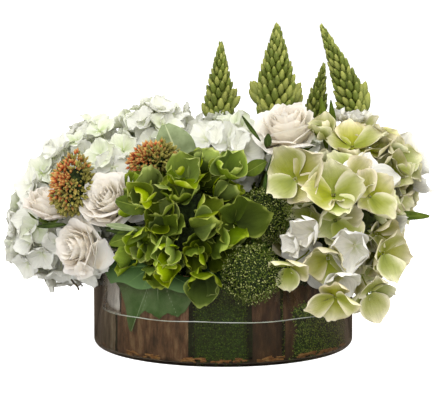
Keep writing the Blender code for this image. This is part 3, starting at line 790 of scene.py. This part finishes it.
def make_core(head, finish, slot, share=0.6):
    """The tangle of stalks and small leaves at the heart of a head, a lumpy ball whose colour is painted
    shade, seen only as depth between florets.
    """
    points = []
    for way in BALL_WAYS:
        point, _ = head.skin(way)
        lump = 0.85 + 0.35 * noise.noise(way * 4.1 + head.middle * 50)
        points.append(head.middle.lerp(point, share * lump))
    one_piece(Shape(points, 0.0, 0.5, (), BALL_FACES), head.node + "_heart", finish, slot, number=0.5)


for one in HEADS.values():
    if "hydrangea" in one.node:
        make_hydrangea(one)


# ---------------------------------------------------------------- roses

# rings of a rose from its bud outwards: petals, radius, height of their rims, flare, half width in radians
ROSE_RINGS = [
    (3, 0.13, 0.74, 0.00, 1.5),
    (4, 0.25, 0.78, 0.03, 1.3),
    (5, 0.38, 0.78, 0.07, 1.0),
    (6, 0.52, 0.74, 0.13, 0.85),
    (6, 0.68, 0.62, 0.22, 0.75),
    (6, 0.82, 0.42, 0.30, 0.68),
    (5, 0.90, 0.12, 0.34, 0.72),
]
ROSE_FOOT = -0.75  # where the petals meet below, as a share of the radius

# the way that each rose of the front looks; the others face straight out
ROSE_LOOKS = {
    "rose_upper_left": (-0.35, -0.8, 0.5),
    "rose_lower_left": (-0.68, -0.72, 0.05),
    "rose_far_left": (0.25, -0.2, 0.95),
    "rose_top": (-0.25, -0.45, 0.86),
}
ROSE_SIZES = {"rose_lower_left": 0.86}  # as a share of the head's own size

# loose outer petals: rose, root in mm, the way the petal faces, its length in mm, and its turn from upright
GUARD_PETALS = [
    ("rose_lower_left", (-114, -91, 84), (0.1, -0.95, 0.1), 32, -0.2),
    ("rose_lower_left", (-112, -87, 87), (0.3, -0.9, 0.0), 18, -0.6),
    ("rose_lower_left", (-122, -92, 78), (-0.1, -0.9, -0.3), 22, 0.4),
    ("rose_upper_left", (-88, -84, 128), (0.3, -0.9, 0.1), 32, -0.7),
]


def rose_petal(radius, rim, flare, spread_angle, phase, rows=9, columns=11):
    """A petal that wraps round the Z axis, belly out and rolled back at its rim. Sizes are shares of the
    rose."""
    across = np.linspace(-1, 1, columns)[None, :]
    along = np.linspace(0, 1, rows)[:, None]
    fan = 0.45 + 0.55 * np.sin(np.pi / 2 * np.minimum(1, along * 1.4))
    angle = spread_angle * across * fan
    belly = radius * (0.25 + 0.75 * np.sin(np.pi / 2 * np.minimum(1, along * 1.5)))
    rolled = flare * np.maximum(0, along - 0.5) ** 2 * 4.5
    frill = (0.05 * np.sin(phase + 4 * across) + 0.025 * np.sin(phase * 2 + 9 * across)) * along**3
    out = belly + rolled + frill + 0.04 * radius * np.abs(across)
    top = rim - 0.22 * np.abs(across) ** 2.5 - flare * 0.35 * np.maximum(0, along - 0.7) * 3
    z = ROSE_FOOT + (top - ROSE_FOOT) * along**0.9 + frill * 1.1
    return sheet(np.stack(np.broadcast_arrays(out * np.cos(angle), out * np.sin(angle), z), -1), 0.012)


def make_rose(head):
    """A garden rose: rings of wrapped petals round a tight bud, and guard petals rolled back."""
    mass = Mass()
    size = head.radius * 0.98 * ROSE_SIZES.get(head.node, 1.0)
    looks = Vector(ROSE_LOOKS.get(head.node, head.facing)).normalized()
    place = stand(head.middle, looks, DICE.uniform(0, math.tau), size)
    ring_turn = 0.0
    for count, radius, rim, flare, half in ROSE_RINGS:
        ring_turn += DICE.uniform(0.3, 1.1)
        for k in range(count):
            turn = ring_turn + math.tau * k / count + DICE.uniform(-0.15, 0.15)
            petal = rose_petal(
                radius * DICE.uniform(0.9, 1.08),
                rim + DICE.uniform(-0.09, 0.07),
                flare * DICE.uniform(0.5, 1.5),
                half,
                DICE.uniform(0, math.tau),
            )
            tilt = Matrix.Rotation(DICE.uniform(-0.07, 0.07), 4, "X")
            mass.add(petal, place @ tilt @ Matrix.Rotation(turn, 4, "Z"), DICE.random())
    for node, root, facing, length, twist in GUARD_PETALS:
        if node == head.node:
            petal = sepal(BLOOMS["rose"], length * MM, 0.1, 0.7, 0.45, twist)
            mass.add(petal, stand(Vector(root) * MM, facing, twist), 0.3)
    mass.piece(head.node + "_petals", "rose_petals", None, [head.node], sharp=75)
    calyx = Mass()
    for k in range(5):
        way = Matrix.Rotation(math.tau * k / 5, 3, "Z") @ Vector((1, 0, 0))
        leaf = blade(
            way * 0.12 + Vector((0, 0, -0.92)),
            way * DICE.uniform(0.75, 0.95) + Vector((0, 0, DICE.uniform(-0.75, -0.35))),
            0.13,
            way * -0.4 + Vector((0, 0, 1)),
            -0.08,
            thickness=0.03,
        )
        calyx.add(leaf, place, 0.3)
    knob = lathe([(0, -1.1), (0.12, -1.05), (0.2, -0.9), (0.16, -0.75), (0, -0.7)], 12)
    calyx.add(knob, place, 0.2)
    calyx.piece(head.node + "_sepals", "olive_leaf", "stem", sharp=60)


for one in HEADS.values():
    if "rose" in one.node:
        make_rose(one)


# ---------------------------------------------------------------- stonecrop, pompons

STAR_BUD = lathe([(0, -1.2), (0.42, -0.6), (0.58, 0.0), (0.45, 0.6), (0.18, 1.15), (0, 1.5)], 5, 5, 0.14)
FUZZ_BUD = lathe([(0, -0.8), (0.62, -0.1), (0.45, 0.55), (0, 0.95)], 4)
SUN_SIDE = Vector((-0.85, -0.25, 0.45))  # where the stonecrop has turned red
SEDUM_STRETCH = {"sedum_left": Vector((1.0, 1.0, 1.2)), "sedum_right": Vector((1.15, 1.0, 0.9))}


def make_sedum(head):
    """Stonecrop: a dome of small bunches, each a dozen and more pointed buds on short stalks."""
    mass = Mass()
    size = 2.1 * MM
    for way in spread(46):
        way = (way + jog(0.12)).normalized()
        point, _ = head.skin(way)
        if pressed(head, point, 1.5 * MM):
            continue
        point = head.middle + (point - head.middle) * SEDUM_STRETCH.get(head.node, Vector((1, 1, 1)))
        hub = point - way * DICE.uniform(3.5, 7.0) * MM
        bunch = 0.47 + 0.36 * way.dot(SUN_SIDE) + DICE.uniform(-0.16, 0.16)
        for ray in spread(24):
            if ray.dot(way) < -0.15:
                continue
            ray = (ray + jog(0.3)).normalized()
            root = hub + ray * DICE.uniform(5.0, 7.5) * MM
            number = min(1, max(0, bunch + DICE.uniform(-0.16, 0.16)))
            facing = (ray + way * 0.8).normalized()
            stood = stand(root, facing, DICE.uniform(0, 6), size * DICE.uniform(0.75, 1.25))
            mass.add(STAR_BUD, stood, number)
            if DICE.random() < 0.3:
                mass.add(rod([hub, root], 0.45 * MM, 3), None, 0.05)
    mass.piece(head.node + "_buds", "sedum_buds", None, [head.node], sharp=60)
    make_core(head, "dark_shade_core", "sedum_buds", 0.72)


def make_pompon(head):
    """A fuzzy ball of very fine buds, lumpy, with painted shade between the buds."""
    mass = Mass()
    for way in spread(2600):
        way = (way + jog(0.05)).normalized()
        point, _ = head.skin(way)
        if pressed(head, point, 0.5 * MM) or inside_bowl(point, 0.5 * MM):
            continue
        swell = 3.5 * MM * noise.noise(way * 2.6 + head.middle * 30)
        root = point + way * (DICE.uniform(-4.5, 2.0) * MM + swell)
        facing = (way + jog(0.4)).normalized()
        stood = stand(root, facing, DICE.uniform(0, 6), DICE.uniform(0.65, 1.1) * MM)
        mass.add(FUZZ_BUD, stood, DICE.random())
    mass.piece(head.node + "_buds", "pompon_buds", None, [head.node])
    make_core(head, "dark_shade_core", "pompon_buds", 0.9)


for one in HEADS.values():
    if "sedum" in one.node:
        make_sedum(one)
    if "pompon" in one.node:
        make_pompon(one)


# ---------------------------------------------------------------- bud spikes

SPIKE_BUD = lathe([(0, -1.0), (0.26, -0.72), (0.42, -0.15), (0.38, 0.4), (0.19, 0.85), (0, 1.05)], 7)


def middle_line(node, low, high, count):
    """Middle points of a long solid between two heights."""
    places = np.array([v.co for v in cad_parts[node].data.vertices])
    step = (high - low) / (count - 1)
    line = []
    for k in range(count):
        z = low + step * k
        weight = np.exp(-(((places[:, 2] - z) / (step * 0.7)) ** 2))
        line.append(Vector((places * weight[:, None]).sum(0) / weight.sum()))
    return line


def swell_of(share):
    """How wide a flower spike is at a share of its height: fullest a third of the way up."""
    return (1 - share) ** 0.9 * (0.85 + 0.65 * min(1, share / 0.35))


def make_spike(node, buds, length, widest, foot_share, loose=0, bow=0.0):
    """A flower spike: oval buds set spirally up a stem, pointing up, large below and small at the tip. Some
    more may stand loose at its sides. A bow pushes its foot out to the right, with the loose buds there."""
    low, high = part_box(node)
    tip = high.z
    foot = low.z + (high.z - low.z) * foot_share
    line = middle_line(node, foot, tip - 2 * MM, 12)
    line = [p + Vector((bow * min(1, 1.5 * (1 - k / 11)), 0, 0)) for k, p in enumerate(line)]
    stem = middle_line(node, low.z, tip - 4 * MM, 14)
    mass = Mass()
    mass.add(rod(stem, [2.2 * MM * (1 - 0.6 * k / 13) for k in range(14)], 7), None, 0.1)
    along = (line[-1] - line[0]).normalized()
    side = along.orthogonal().normalized()
    heart = [widest * (0.62 * swell_of(k / 11) + 0.02) for k in range(12)]
    mass.add(rod(line, heart, 11), None, 0.0)
    for k in range(buds):
        share = (k / (buds - 1)) ** 0.95
        spot = share * (len(line) - 1)
        base = line[int(spot)].lerp(line[min(int(spot) + 1, len(line) - 1)], spot % 1)
        turn = GOLDEN_TURN * k
        out = side * math.cos(turn) + along.cross(side) * math.sin(turn)
        lean = 0.5 * (1 - share) + 0.14 + DICE.uniform(-0.08, 0.12)
        facing = (along + out * lean).normalized()
        scale = length * (0.42 + 0.58 * (1 - share)) * DICE.uniform(0.88, 1.12)
        place = base + out * widest * (0.78 * swell_of(share) + 0.03) + facing * scale * 0.1
        mass.add(SPIKE_BUD, stand(place, facing, 0, scale), DICE.random())
    for k in range(loose):
        turn = (0 if bow else math.pi * k) + DICE.uniform(-0.5, 0.5)
        out = Vector((math.cos(turn), 0.4 * math.sin(turn), 0)).normalized()
        facing = (along + out * DICE.uniform(0.5, 0.9)).normalized()
        place = line[3] + out * widest * DICE.uniform(0.9, 1.15) + along * DICE.uniform(-10, 6) * MM
        mass.add(SPIKE_BUD, stand(place, facing, 0, length * 1.15), DICE.uniform(0.7, 1))
    mass.piece(node + "_buds", "spike_buds", None, [node])


make_spike("bud_spike_left", 92, 8.6 * MM, 12.6 * MM, 0.67, 3)
make_spike("bud_spike_middle", 136, 9.8 * MM, 18.5 * MM, 0.64, 6)
make_spike("bud_spike_right", 116, 9.0 * MM, 12.6 * MM, 0.63, 4, 8.5 * MM)
make_spike("bud_spike_short", 70, 7.4 * MM, 9.2 * MM, 0.72)


# ---------------------------------------------------------------- bowl and water


def turned_piece(name, profile, finish, node, steps=160):
    """A turned solid of the bowl, in many fine steps."""
    one_piece(lathe(profile, steps), name, finish, None, [node], 50)


def arc(centre_r, centre_z, radius, start, end, count):
    """Points on an arc, with angles in degrees from outwards towards up."""
    turns = [math.radians(start + (end - start) * k / count) for k in range(count + 1)]
    return [(centre_r + radius * math.cos(t), centre_z + radius * math.sin(t)) for t in turns]


GLASS_BASE = 3.4 * MM


def make_bowl():
    """Pressed glass cylinder with a fire-polished rim and a thick base that stands on its heel."""
    wall, base, heel, rim, hollow = 4.7 * MM, GLASS_BASE, 6 * MM, 2.35 * MM, 0.6 * MM
    inner = BOWL_RADIUS - wall
    profile = [(0, hollow), (BOWL_RADIUS - 20 * MM, hollow), (BOWL_RADIUS - 12 * MM, 0.2 * MM)]
    profile += arc(BOWL_RADIUS - heel, heel, heel, -90, 0, 8)
    profile += arc(BOWL_RADIUS - rim, RIM_HEIGHT - rim, rim, 0, 180, 10)
    profile += arc(inner - 2 * MM, base + 2 * MM, 2 * MM, 0, -90, 6)
    profile.append((0, base))
    turned_piece("clear_glass_bowl", profile, "clear_glass", "glass_bowl")


def make_water():
    """Water from the lining to the glass, and the wavering line where it creeps up the glass, as a painted
    highlight.
    """
    outer = WATER_RADIUS + 0.4 * MM
    inner = FOAM_RADIUS
    profile = [
        (0, GLASS_BASE - 0.4 * MM),
        (outer - 2 * MM, GLASS_BASE - 0.4 * MM),
        (outer - 0.6 * MM, GLASS_BASE + 0.4 * MM),
        (outer, GLASS_BASE + 2 * MM),
        (outer, WATER_HEIGHT),
        (inner, WATER_HEIGHT),
        (0, WATER_HEIGHT),
    ]
    turned_piece("water_in_bowl", profile, "water", "water")
    line, radii = [], []
    for k in range(161):
        turn = math.tau * k / 160
        lift = 1.6 * MM * noise.noise(Vector((math.cos(turn), math.sin(turn), 0)) * 2.6)
        radii.append((0.08 + 0.3 * min(1, abs(math.sin(turn)) ** 2 * 1.6)) * MM)
        beside = outer - 0.9 * MM
        line.append((math.cos(turn) * beside, math.sin(turn) * beside, WATER_HEIGHT + lift))
    one_piece(rod(line, radii, 6), "painted_waterline", "waterline_glint", "water")


make_bowl()
make_water()


# ---------------------------------------------------------------- bark and moss behind the glass


LINING_FOOT = GLASS_BASE + 0.4 * MM
# the strips that are not plain bark
BARK_LOOKS = {"bark_strip_left": "pale_topped_bark", "bark_strip_front_right": "shade_painted_bark"}
BARE_ABOVE = {"moss_pad_right": 54 * MM}  # pads that moss covers only up to a height, with bark showing above


def span_of(node):
    """First and last angle round the bowl that a lining solid covers, its top, and its two radii."""
    places = np.array([v.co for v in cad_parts[node].data.vertices])
    centre = places.mean(0)
    middle = math.atan2(centre[1], centre[0])
    turns = np.arctan2(places[:, 1], places[:, 0]) - middle
    turns = (turns + math.pi) % math.tau - math.pi
    radii = np.hypot(places[:, 0], places[:, 1])
    return middle + turns.min(), middle + turns.max(), places[:, 2].max(), radii.min(), radii.max()


def bark_grid(first, last, high, outer):
    """Points of a curved strip of bark: long upright ridges and cracks, and a torn top edge."""
    columns = max(14, round((last - first) * outer / (1.6 * MM)))
    rows = 26
    points = np.zeros((rows, columns, 3))
    seed = first * 7
    for c in range(columns):
        a = c / (columns - 1)
        turn = first + (last - first) * a
        torn = 5 * MM * noise.noise(Vector((a * 9, seed, 0)))
        torn += 2 * MM * noise.noise(Vector((a * 31, seed, 1)))
        for r in range(rows):
            z = LINING_FOOT + (high - 3 * MM + torn - LINING_FOOT) * r / (rows - 1)
            ridge = noise.noise(Vector((turn * 34, z * 60, seed)))
            ridge += 0.5 * noise.noise(Vector((turn * 90, z * 160, seed)))
            crack = -abs(noise.noise(Vector((turn * 50, z * 25, seed + 5))))
            radius = outer - 1.2 * MM + (1.1 * ridge + 1.2 * crack) * MM
            points[r, c] = (radius * math.cos(turn), radius * math.sin(turn), z)
    return points


def make_bark(node):
    """A strip of bark that stands behind the glass."""
    first, last, high, _, outer = span_of(node)
    plank = sheet(bark_grid(first, last, high, outer), 3.2 * MM)
    one_piece(plank, node + "_plank", BARK_LOOKS.get(node, "bark"), "bark", [node], 60, 0.5)


def moss_grid(first, last, high, inner, outer):
    """Points of a lumpy pad of moss, rounded at its ends and over its top."""
    columns = max(14, round((last - first) * outer / (2.5 * MM)))
    rows = 22
    points = np.zeros((rows, columns, 3))
    for r in range(rows):
        v = r / (rows - 1)
        for c in range(columns):
            a = c / (columns - 1)
            turn = first + (last - first) * a
            lump = noise.noise(Vector((turn * 12, v * 6, first)))
            end = 1 - abs(2 * a - 1) ** 6
            crown = math.sqrt(max(0, 1 - max(0, v - 0.8) ** 2 * 25)) if v > 0.8 else 1
            bulge = (outer - inner - 3.5 * MM + lump * 1.5 * MM) * max(0.15, end * crown)
            radius = inner + 2 * MM + bulge
            wave = 6 * MM * noise.noise(Vector((a * 4, 0, first)))
            wave += 2 * MM * noise.noise(Vector((a * 15, 1, first)))
            z = LINING_FOOT + (high - LINING_FOOT + wave) * v
            points[r, c] = (radius * math.cos(turn), radius * math.sin(turn), z)
    return points


def make_moss(node):
    """A pad of cushion moss: a lumpy bed set with fine bright tufts, backed by bark where it is bare."""
    first, last, high, inner, outer = span_of(node)
    if node in BARE_ABOVE:
        backing = sheet(bark_grid(first, last, high, outer - 2.5 * MM), 3.0 * MM)
        one_piece(backing, node + "_backing", "shade_painted_bark", "bark", sharp=60, number=0.5)
        high = BARE_ABOVE[node]
    points = moss_grid(first, last, high, inner, outer)
    one_piece(sheet(points, 2.0 * MM), node + "_bed", "moss_bed", "moss", [node], number=0.5)
    rows, columns = points.shape[:2]
    tufts = Mass()
    pitch = 1.7 * MM if "back" in node else 1.2 * MM
    for _ in range(round((high - LINING_FOOT) * (last - first) * outer / pitch**2)):
        v, a = DICE.random(), DICE.random()
        place = points[round(v * (rows - 1)), round(a * (columns - 1))]
        turn = first + (last - first) * a
        out = Vector((math.cos(turn), math.sin(turn), 0.25 + 0.9 * max(0, v - 0.8) * 5))
        spot = Vector(place) + jog(1.2 * MM) + out.normalized() * DICE.uniform(0.3, 1.6) * MM
        scale = DICE.uniform(0.55, 1.1) * pitch
        tufts.add(FUZZ_BUD, stand(spot, out + jog(0.5), DICE.uniform(0, 6), scale), DICE.random())
    tufts.piece(node + "_tufts", "bright_moss" if node in BARE_ABOVE else "moss", "moss")


def make_bark_chips():
    """Crumbs of bark that have fallen between the lining and the glass."""
    mass = Mass()
    for _ in range(230):
        turn = DICE.uniform(0, math.tau)
        if noise.noise(Vector((math.cos(turn), math.sin(turn), 0)) * 3.1) < -0.12:
            continue
        radius = FOAM_RADIUS + DICE.uniform(12.8, 16.2) * MM
        height = GLASS_BASE + DICE.uniform(1.2, 3.6) * MM
        spot = Vector((radius * math.cos(turn), radius * math.sin(turn), height))
        half = Vector((-math.sin(turn), math.cos(turn), DICE.uniform(-0.25, 0.25)))
        half = half * DICE.uniform(1.5, 5) * MM
        sizes = [DICE.uniform(0.5, 1.3) * MM for _ in range(3)]
        mass.add(rod([spot - half, spot + jog(0.4 * MM), spot + half], sizes, 5))
    mass.piece("bark_chips", "bark_chips", "bark", sharp=30)


make_bark_chips()

for node in sorted(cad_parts):
    if node.startswith("bark_strip"):
        make_bark(node)
    if node.startswith("moss_pad"):
        make_moss(node)


# ---------------------------------------------------------------- leaves


def make_leaf(node, finish="grey_leaf"):
    """A leaf of the frame, finely modelled between its lowest and highest ends."""
    places = [Vector(v.co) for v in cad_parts[node].data.vertices]
    places.sort(key=lambda p: p.z)
    count = 4
    base = sum(places[:count], Vector()) / count
    tip = sum(places[-count:], Vector()) / count
    middle = sum(places, Vector()) / len(places)
    looks = Vector((0, 1 if middle.y > 0 else -1, 0.3))
    one_piece(blade(base, tip, 19 * MM, looks, 6 * MM), node + "_blade", finish, "dark_leaf", [node], 60)


make_leaf("hydrangea_leaf_top")
make_leaf("hydrangea_leaf_back", "dark_leaf")


# outline of the leaf at the front: degrees round the bowl from the front, lowest and highest point in mm
LEAF_OUTLINE = [
    (-64, 88, 95),
    (-61, 79, 98),
    (-57, 71, 97),
    (-52, 62, 95),
    (-48, 47, 95),
    (-45.5, 27, 94),
    (-44, 24, 94),
    (-41, 38, 93),
    (-36.5, 46, 92),
    (-33, 44, 90),
    (-29, 40, 88),
    (-25, 46, 86),
    (-20, 43, 84),
    (-16, 50, 82),
    (-12, 66, 79),
    (-10, 75, 77),
]
LEAF_HUB = (-30, 90)  # where the veins meet, under the flowers: degrees and mm
LEAF_VEINS = [(-44.5, 24), (-60, 80), (-52, 58), (-38, 44), (-29, 40), (-20, 43), (-11, 72)]


def vein_gap(degree, height):
    """How near a point of the front leaf is to a vein, in mm across the vein's own width."""
    arc_mm = math.radians(1) * WATER_RADIUS / MM
    here = Vector(((degree - LEAF_HUB[0]) * arc_mm, height - LEAF_HUB[1]))
    gap = 9.0
    for turn, z in LEAF_VEINS:
        vein = Vector(((turn - LEAF_HUB[0]) * arc_mm, z - LEAF_HUB[1]))
        if here.dot(vein) > 0:
            ahead = here.dot(vein) / vein.length
            gap = min(gap, abs(here.cross(vein)) / vein.length / (0.5 + 0.01 * max(0, vein.length - ahead)))
    return gap


def make_front_leaf():
    """The broad leaf at the front: it lies over the rim, and its lower half is pinched between the lining and
    the glass. Veins fan out from its stalk."""
    rim = RIM_HEIGHT / MM
    columns, rows = 84, 40
    degrees, lowest, highest = zip(*LEAF_OUTLINE)
    pinched, over = np.zeros((rows, columns, 3)), np.zeros((rows, columns, 3))
    pinched_marks, over_marks = np.zeros((rows, columns)), np.zeros((rows, columns))
    for c in range(columns):
        a = c / (columns - 1)
        degree = degrees[0] + (degrees[-1] - degrees[0]) * a
        tooth = 0.9 * abs(math.sin(degree * 1.1))
        turn = math.radians(degree - 90)
        way = Vector((math.cos(turn), math.sin(turn), 0))
        bottom = min(rim - 4, np.interp(degree, degrees, lowest) + tooth)
        crest = max(rim + 1.5, np.interp(degree, degrees, highest) - tooth * 0.5)
        hem = max(np.interp(degree, degrees, lowest) + tooth, rim - 11 - 2 * math.sin(degree * 0.3))
        for r in range(rows):
            share = r / (rows - 1)
            height = bottom + (rim - 1 - bottom) * share
            gap = vein_gap(degree, height)
            pinched_marks[r, c] = max(0, 1 - gap / 1.8)
            puff = 0.5 * min(1, gap / 6) + 0.5 * noise.noise(Vector((a * 9, height / 9, 3)))
            pinched[r, c] = way * (WATER_RADIUS - (1.7 - puff) * MM) + Vector((0, 0, height * MM))
            # the flap rises inside the rim, turns over it and hangs down in front of the glass
            bend = math.pi * min(1, share / 0.35)
            height = crest - (crest - rim + 3) * (1 - math.sin(bend / 2)) if share < 0.35 else crest
            if share >= 0.35:
                height = crest - (crest - hem) * (share - 0.35) / 0.65
            out = BOWL_RADIUS / MM - 7.5 + 9 * math.sin(min(1, share / 0.45) * math.pi / 2)
            gap = vein_gap(degree, height)
            over_marks[r, c] = max(0, 1 - gap / 1.5) if share > 0.3 else 0
            wave = 0.8 * noise.noise(Vector((a * 7, height / 11, 8))) + 0.5 * min(1, gap / 6)
            over[r, c] = way * (out + max(0, wave)) * MM + Vector((0, 0, height * MM))
    # the part behind the glass takes the leaf finish with painted light and sheen
    for name, finish, points, marks in (
        ("front_leaf_blade", "front_leaf_painted_light", pinched, pinched_marks),
        ("front_leaf_fold", "front_leaf", over, over_marks),
    ):
        one_piece(sheet(points, 0.5 * MM, marks), name, finish, "dark_leaf", ["front_leaf"], 60)


make_front_leaf()

# small leaves among the flowers: name, finish, base, tip and half width in mm, the way it looks, and its arch
SMALL_LEAVES = [
    ("olive_leaf_by_rose", "olive_leaf", (-66, -126, 142), (-95, -125, 150), 9, (-0.3, -1, 0.2), 3),
    ("olive_leaf_by_green_head", "olive_leaf", (-66, -128, 124), (-101, -122, 111), 8, (-0.2, -1, 0.4), 3),
    ("pale_blade_by_rose", "grey_leaf", (-76, -128, 124), (-104, -121, 128), 3.2, (0, -1, 0.5), 1),
    ("dark_blade_by_rose", "dark_leaf", (-78, -127, 120), (-104, -120, 123), 2.2, (0, -1, 0.2), 1),
    ("dark_blade_far_left", "dark_leaf", (-142, -94, 125), (-169, -86, 122), 2.6, (0, -1, 0.3), 1),
    ("sepal_by_top_rose", "dark_leaf", (34, -64, 198), (17, -58, 221), 2.0, (-0.3, -1, 0.2), 2),
    ("bud_leaf_by_top_rose", "dark_leaf", (40, -63, 191), (41, -62, 205), 3.6, (0, -1, 0.1), 1),
    ("olive_leaf_far_right", "olive_leaf", (156, -28, 125), (196, -20, 124), 4.5, (0.1, -1, 0.4), 2),
    ("olive_leaf_by_pompon", "olive_leaf", (18, -94, 170), (38, -94, 182), 7, (0.2, -1, 0.3), 3),
    ("blade_by_short_spike", "olive_leaf", (100, 9, 184), (94, 4, 236), 4, (0, -1, 0.2), 3),
    ("blade_by_right_spike", "olive_leaf", (106, 9, 184), (103, 2, 234), 3.6, (0.2, -1, 0.2), 3),
    ("curled_leaf_tip", "twig", (-101, -72, 93), (-112, -70, 86), 2.4, (0, -1, 0.2), 1),
]
SMALL_TWIGS = [
    ("twig_by_top_rose", [(40, -64, 192), (50, -68, 195), (58, -66, 192)], 1.1),
    ("twig_low_left", [(-141, -62, 70), (-138, -62, 66), (-135, -62, 63), (-134, -62, 60)], 1.0),
]


def make_small_leaves():
    """The few blades, sepals and twigs that poke out between the flowers."""
    for name, finish, base, tip, half, looks, arch in SMALL_LEAVES:
        leaf = blade(Vector(base) * MM, Vector(tip) * MM, half * MM, looks, arch * MM)
        one_piece(leaf, name, finish, "dark_leaf", sharp=60)
    for name, path, radius in SMALL_TWIGS:
        one_piece(rod([Vector(p) * MM for p in path], radius * MM, 6), name, "twig", "stem")


make_small_leaves()

# more florets that stand a little proud of their heads, given as the featured ones are
OUTER_FLORETS = [
    ("white_hydrangea_left", (-186, -18, 154), (-0.7, -0.65, 0.35), 19, 0.0, 0.3),
    ("white_hydrangea_left", (-190, -8, 138), (-0.8, -0.55, 0.2), 18, 0.0, 0.1),
    ("white_hydrangea_left", (-177, -8, 167), (-0.5, -0.65, 0.6), 19, 0.0, 0.8),
    ("white_hydrangea_upper_left", (-168, 4, 179), (-0.6, -0.6, 0.5), 19, 0.0, 0.2),
    ("white_hydrangea_upper_left", (-160, 0, 190), (-0.5, -0.5, 0.7), 18, 0.0, 0.6),
    ("variegated_hydrangea_right", (128, -6, 208), (-0.1, -0.4, 0.9), 25, 0.1, 0.3),
    ("variegated_hydrangea_right", (142, 4, 204), (0.4, -0.2, 0.9), 22, 0.0, 0.5),
]


def make_outer_florets():
    """Florets at the far left and behind the top of the cream-edged heads, each on its own stalk."""
    masses = {"white": Mass(), "variegated": Mass()}
    for row in OUTER_FLORETS:
        mass = masses[row[0].split("_")[0]]
        add_stalk(mass, HEADS[row[0]], add_placed(mass, row, bool))
    for sort, mass in masses.items():
        mass.piece("outer_" + sort + "_florets", sort + "_petals", sharp=70)


make_outer_florets()

for node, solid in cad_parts.items():
    finish = "stem" if node.endswith("_stem") else "foam" if node == "floral_foam" else None
    if finish:
        solid.data.materials.clear()
        solid.data.materials.append(FINISH[finish])


# ---------------------------------------------------------------- studio


def by_way_of_glass(tree, ray):
    """1 for light that a gloss has mirrored or that has come through the glass, and otherwise 0."""
    mirrored, through = ray.outputs["Is Glossy Ray"], ray.outputs["Is Transmission Ray"]
    return put(tree, "Math", {0: mirrored, 1: through}, operation="MAXIMUM")


def make_studio():
    """A pale floor, an even white surround, four large soft lamps, and the camera."""
    floor_mesh = bpy.data.meshes.new("studio_floor")
    side = 20.0
    corners = [(-side, -side, 0), (side, -side, 0), (side, side, 0), (-side, side, 0)]
    floor_mesh.from_pydata(corners, [], [(0, 1, 2, 3)])
    floor = bpy.data.objects.new("studio_floor", floor_mesh)
    bpy.context.scene.collection.objects.link(floor)
    made, tree = blank("white_paper_sweep")
    ray = put(tree, "LightPath")
    paper = put(tree, "BsdfDiffuse", {0: rgb("#cfcfcf")})
    shine = put(tree, "Emission", {0: rgb("#ffffff"), 1: 0.8})
    seen = put(tree, "AddShader", {0: paper, 1: shine})
    mixed = put(tree, "MixShader", {0: ray.outputs["Is Camera Ray"], 1: paper, 2: seen})
    # seen in and through the glass the floor is a dim brown, a painted tint for the faint brownish sheen in
    # the glass
    dim = put(tree, "BsdfDiffuse", {0: rgb("#5c5044")})
    final = put(tree, "MixShader", {0: by_way_of_glass(tree, ray), 1: mixed, 2: dim})
    put(tree, "OutputMaterial", {0: final})
    floor_mesh.materials.append(made)

    world = bpy.data.worlds.new("white_surround")
    bpy.context.scene.world = world
    world.use_nodes = True
    tree = world.node_tree
    tree.nodes.clear()
    # seen directly it is white; it lights softly, and shows only faintly in and through the glass
    ray = put(tree, "LightPath")
    shine = put(tree, "MapRange", {0: by_way_of_glass(tree, ray), 3: 1.2, 4: 0.26})
    strength = put(tree, "Math", {0: shine, 1: ray.outputs["Is Camera Ray"]}, operation="MAXIMUM")
    put(tree, "OutputWorld", {0: put(tree, "Background", {0: rgb("#ffffff"), 1: strength})})

    for name, place, size, power in (
        ("soft_lamp_front", (-0.3, -1.9, 0.75), 1.4, 17),
        ("soft_lamp_left", (-0.5, -0.8, 1.8), 1.3, 20),
        ("soft_lamp_right", (1.2, -0.9, 1.2), 1.2, 12),
        ("soft_lamp_back", (0.3, 1.5, 1.5), 1.2, 14),
    ):
        lamp = bpy.data.lights.new(name, "AREA")
        lamp.shape = "SQUARE"
        lamp.size = size
        lamp.energy = power
        held = bpy.data.objects.new(name, lamp)
        held.location = place
        held.visible_glossy = False
        held.rotation_euler = (HEART - Vector(place)).to_track_quat("-Z", "Y").to_euler()
        bpy.context.scene.collection.objects.link(held)

    aim = Vector((-6 * MM, 0, 137 * MM))
    camera = bpy.data.cameras.new("camera")
    camera.lens = 121.2
    camera.sensor_width = 36
    held = bpy.data.objects.new("camera", camera)
    held.location = (-6 * MM, -1.4, 0.28)
    held.rotation_euler = (aim - held.location).to_track_quat("-Z", "Y").to_euler()
    bpy.context.scene.collection.objects.link(held)
    bpy.context.scene.camera = held
    bpy.context.scene.view_settings.view_transform = "Standard"


make_studio()
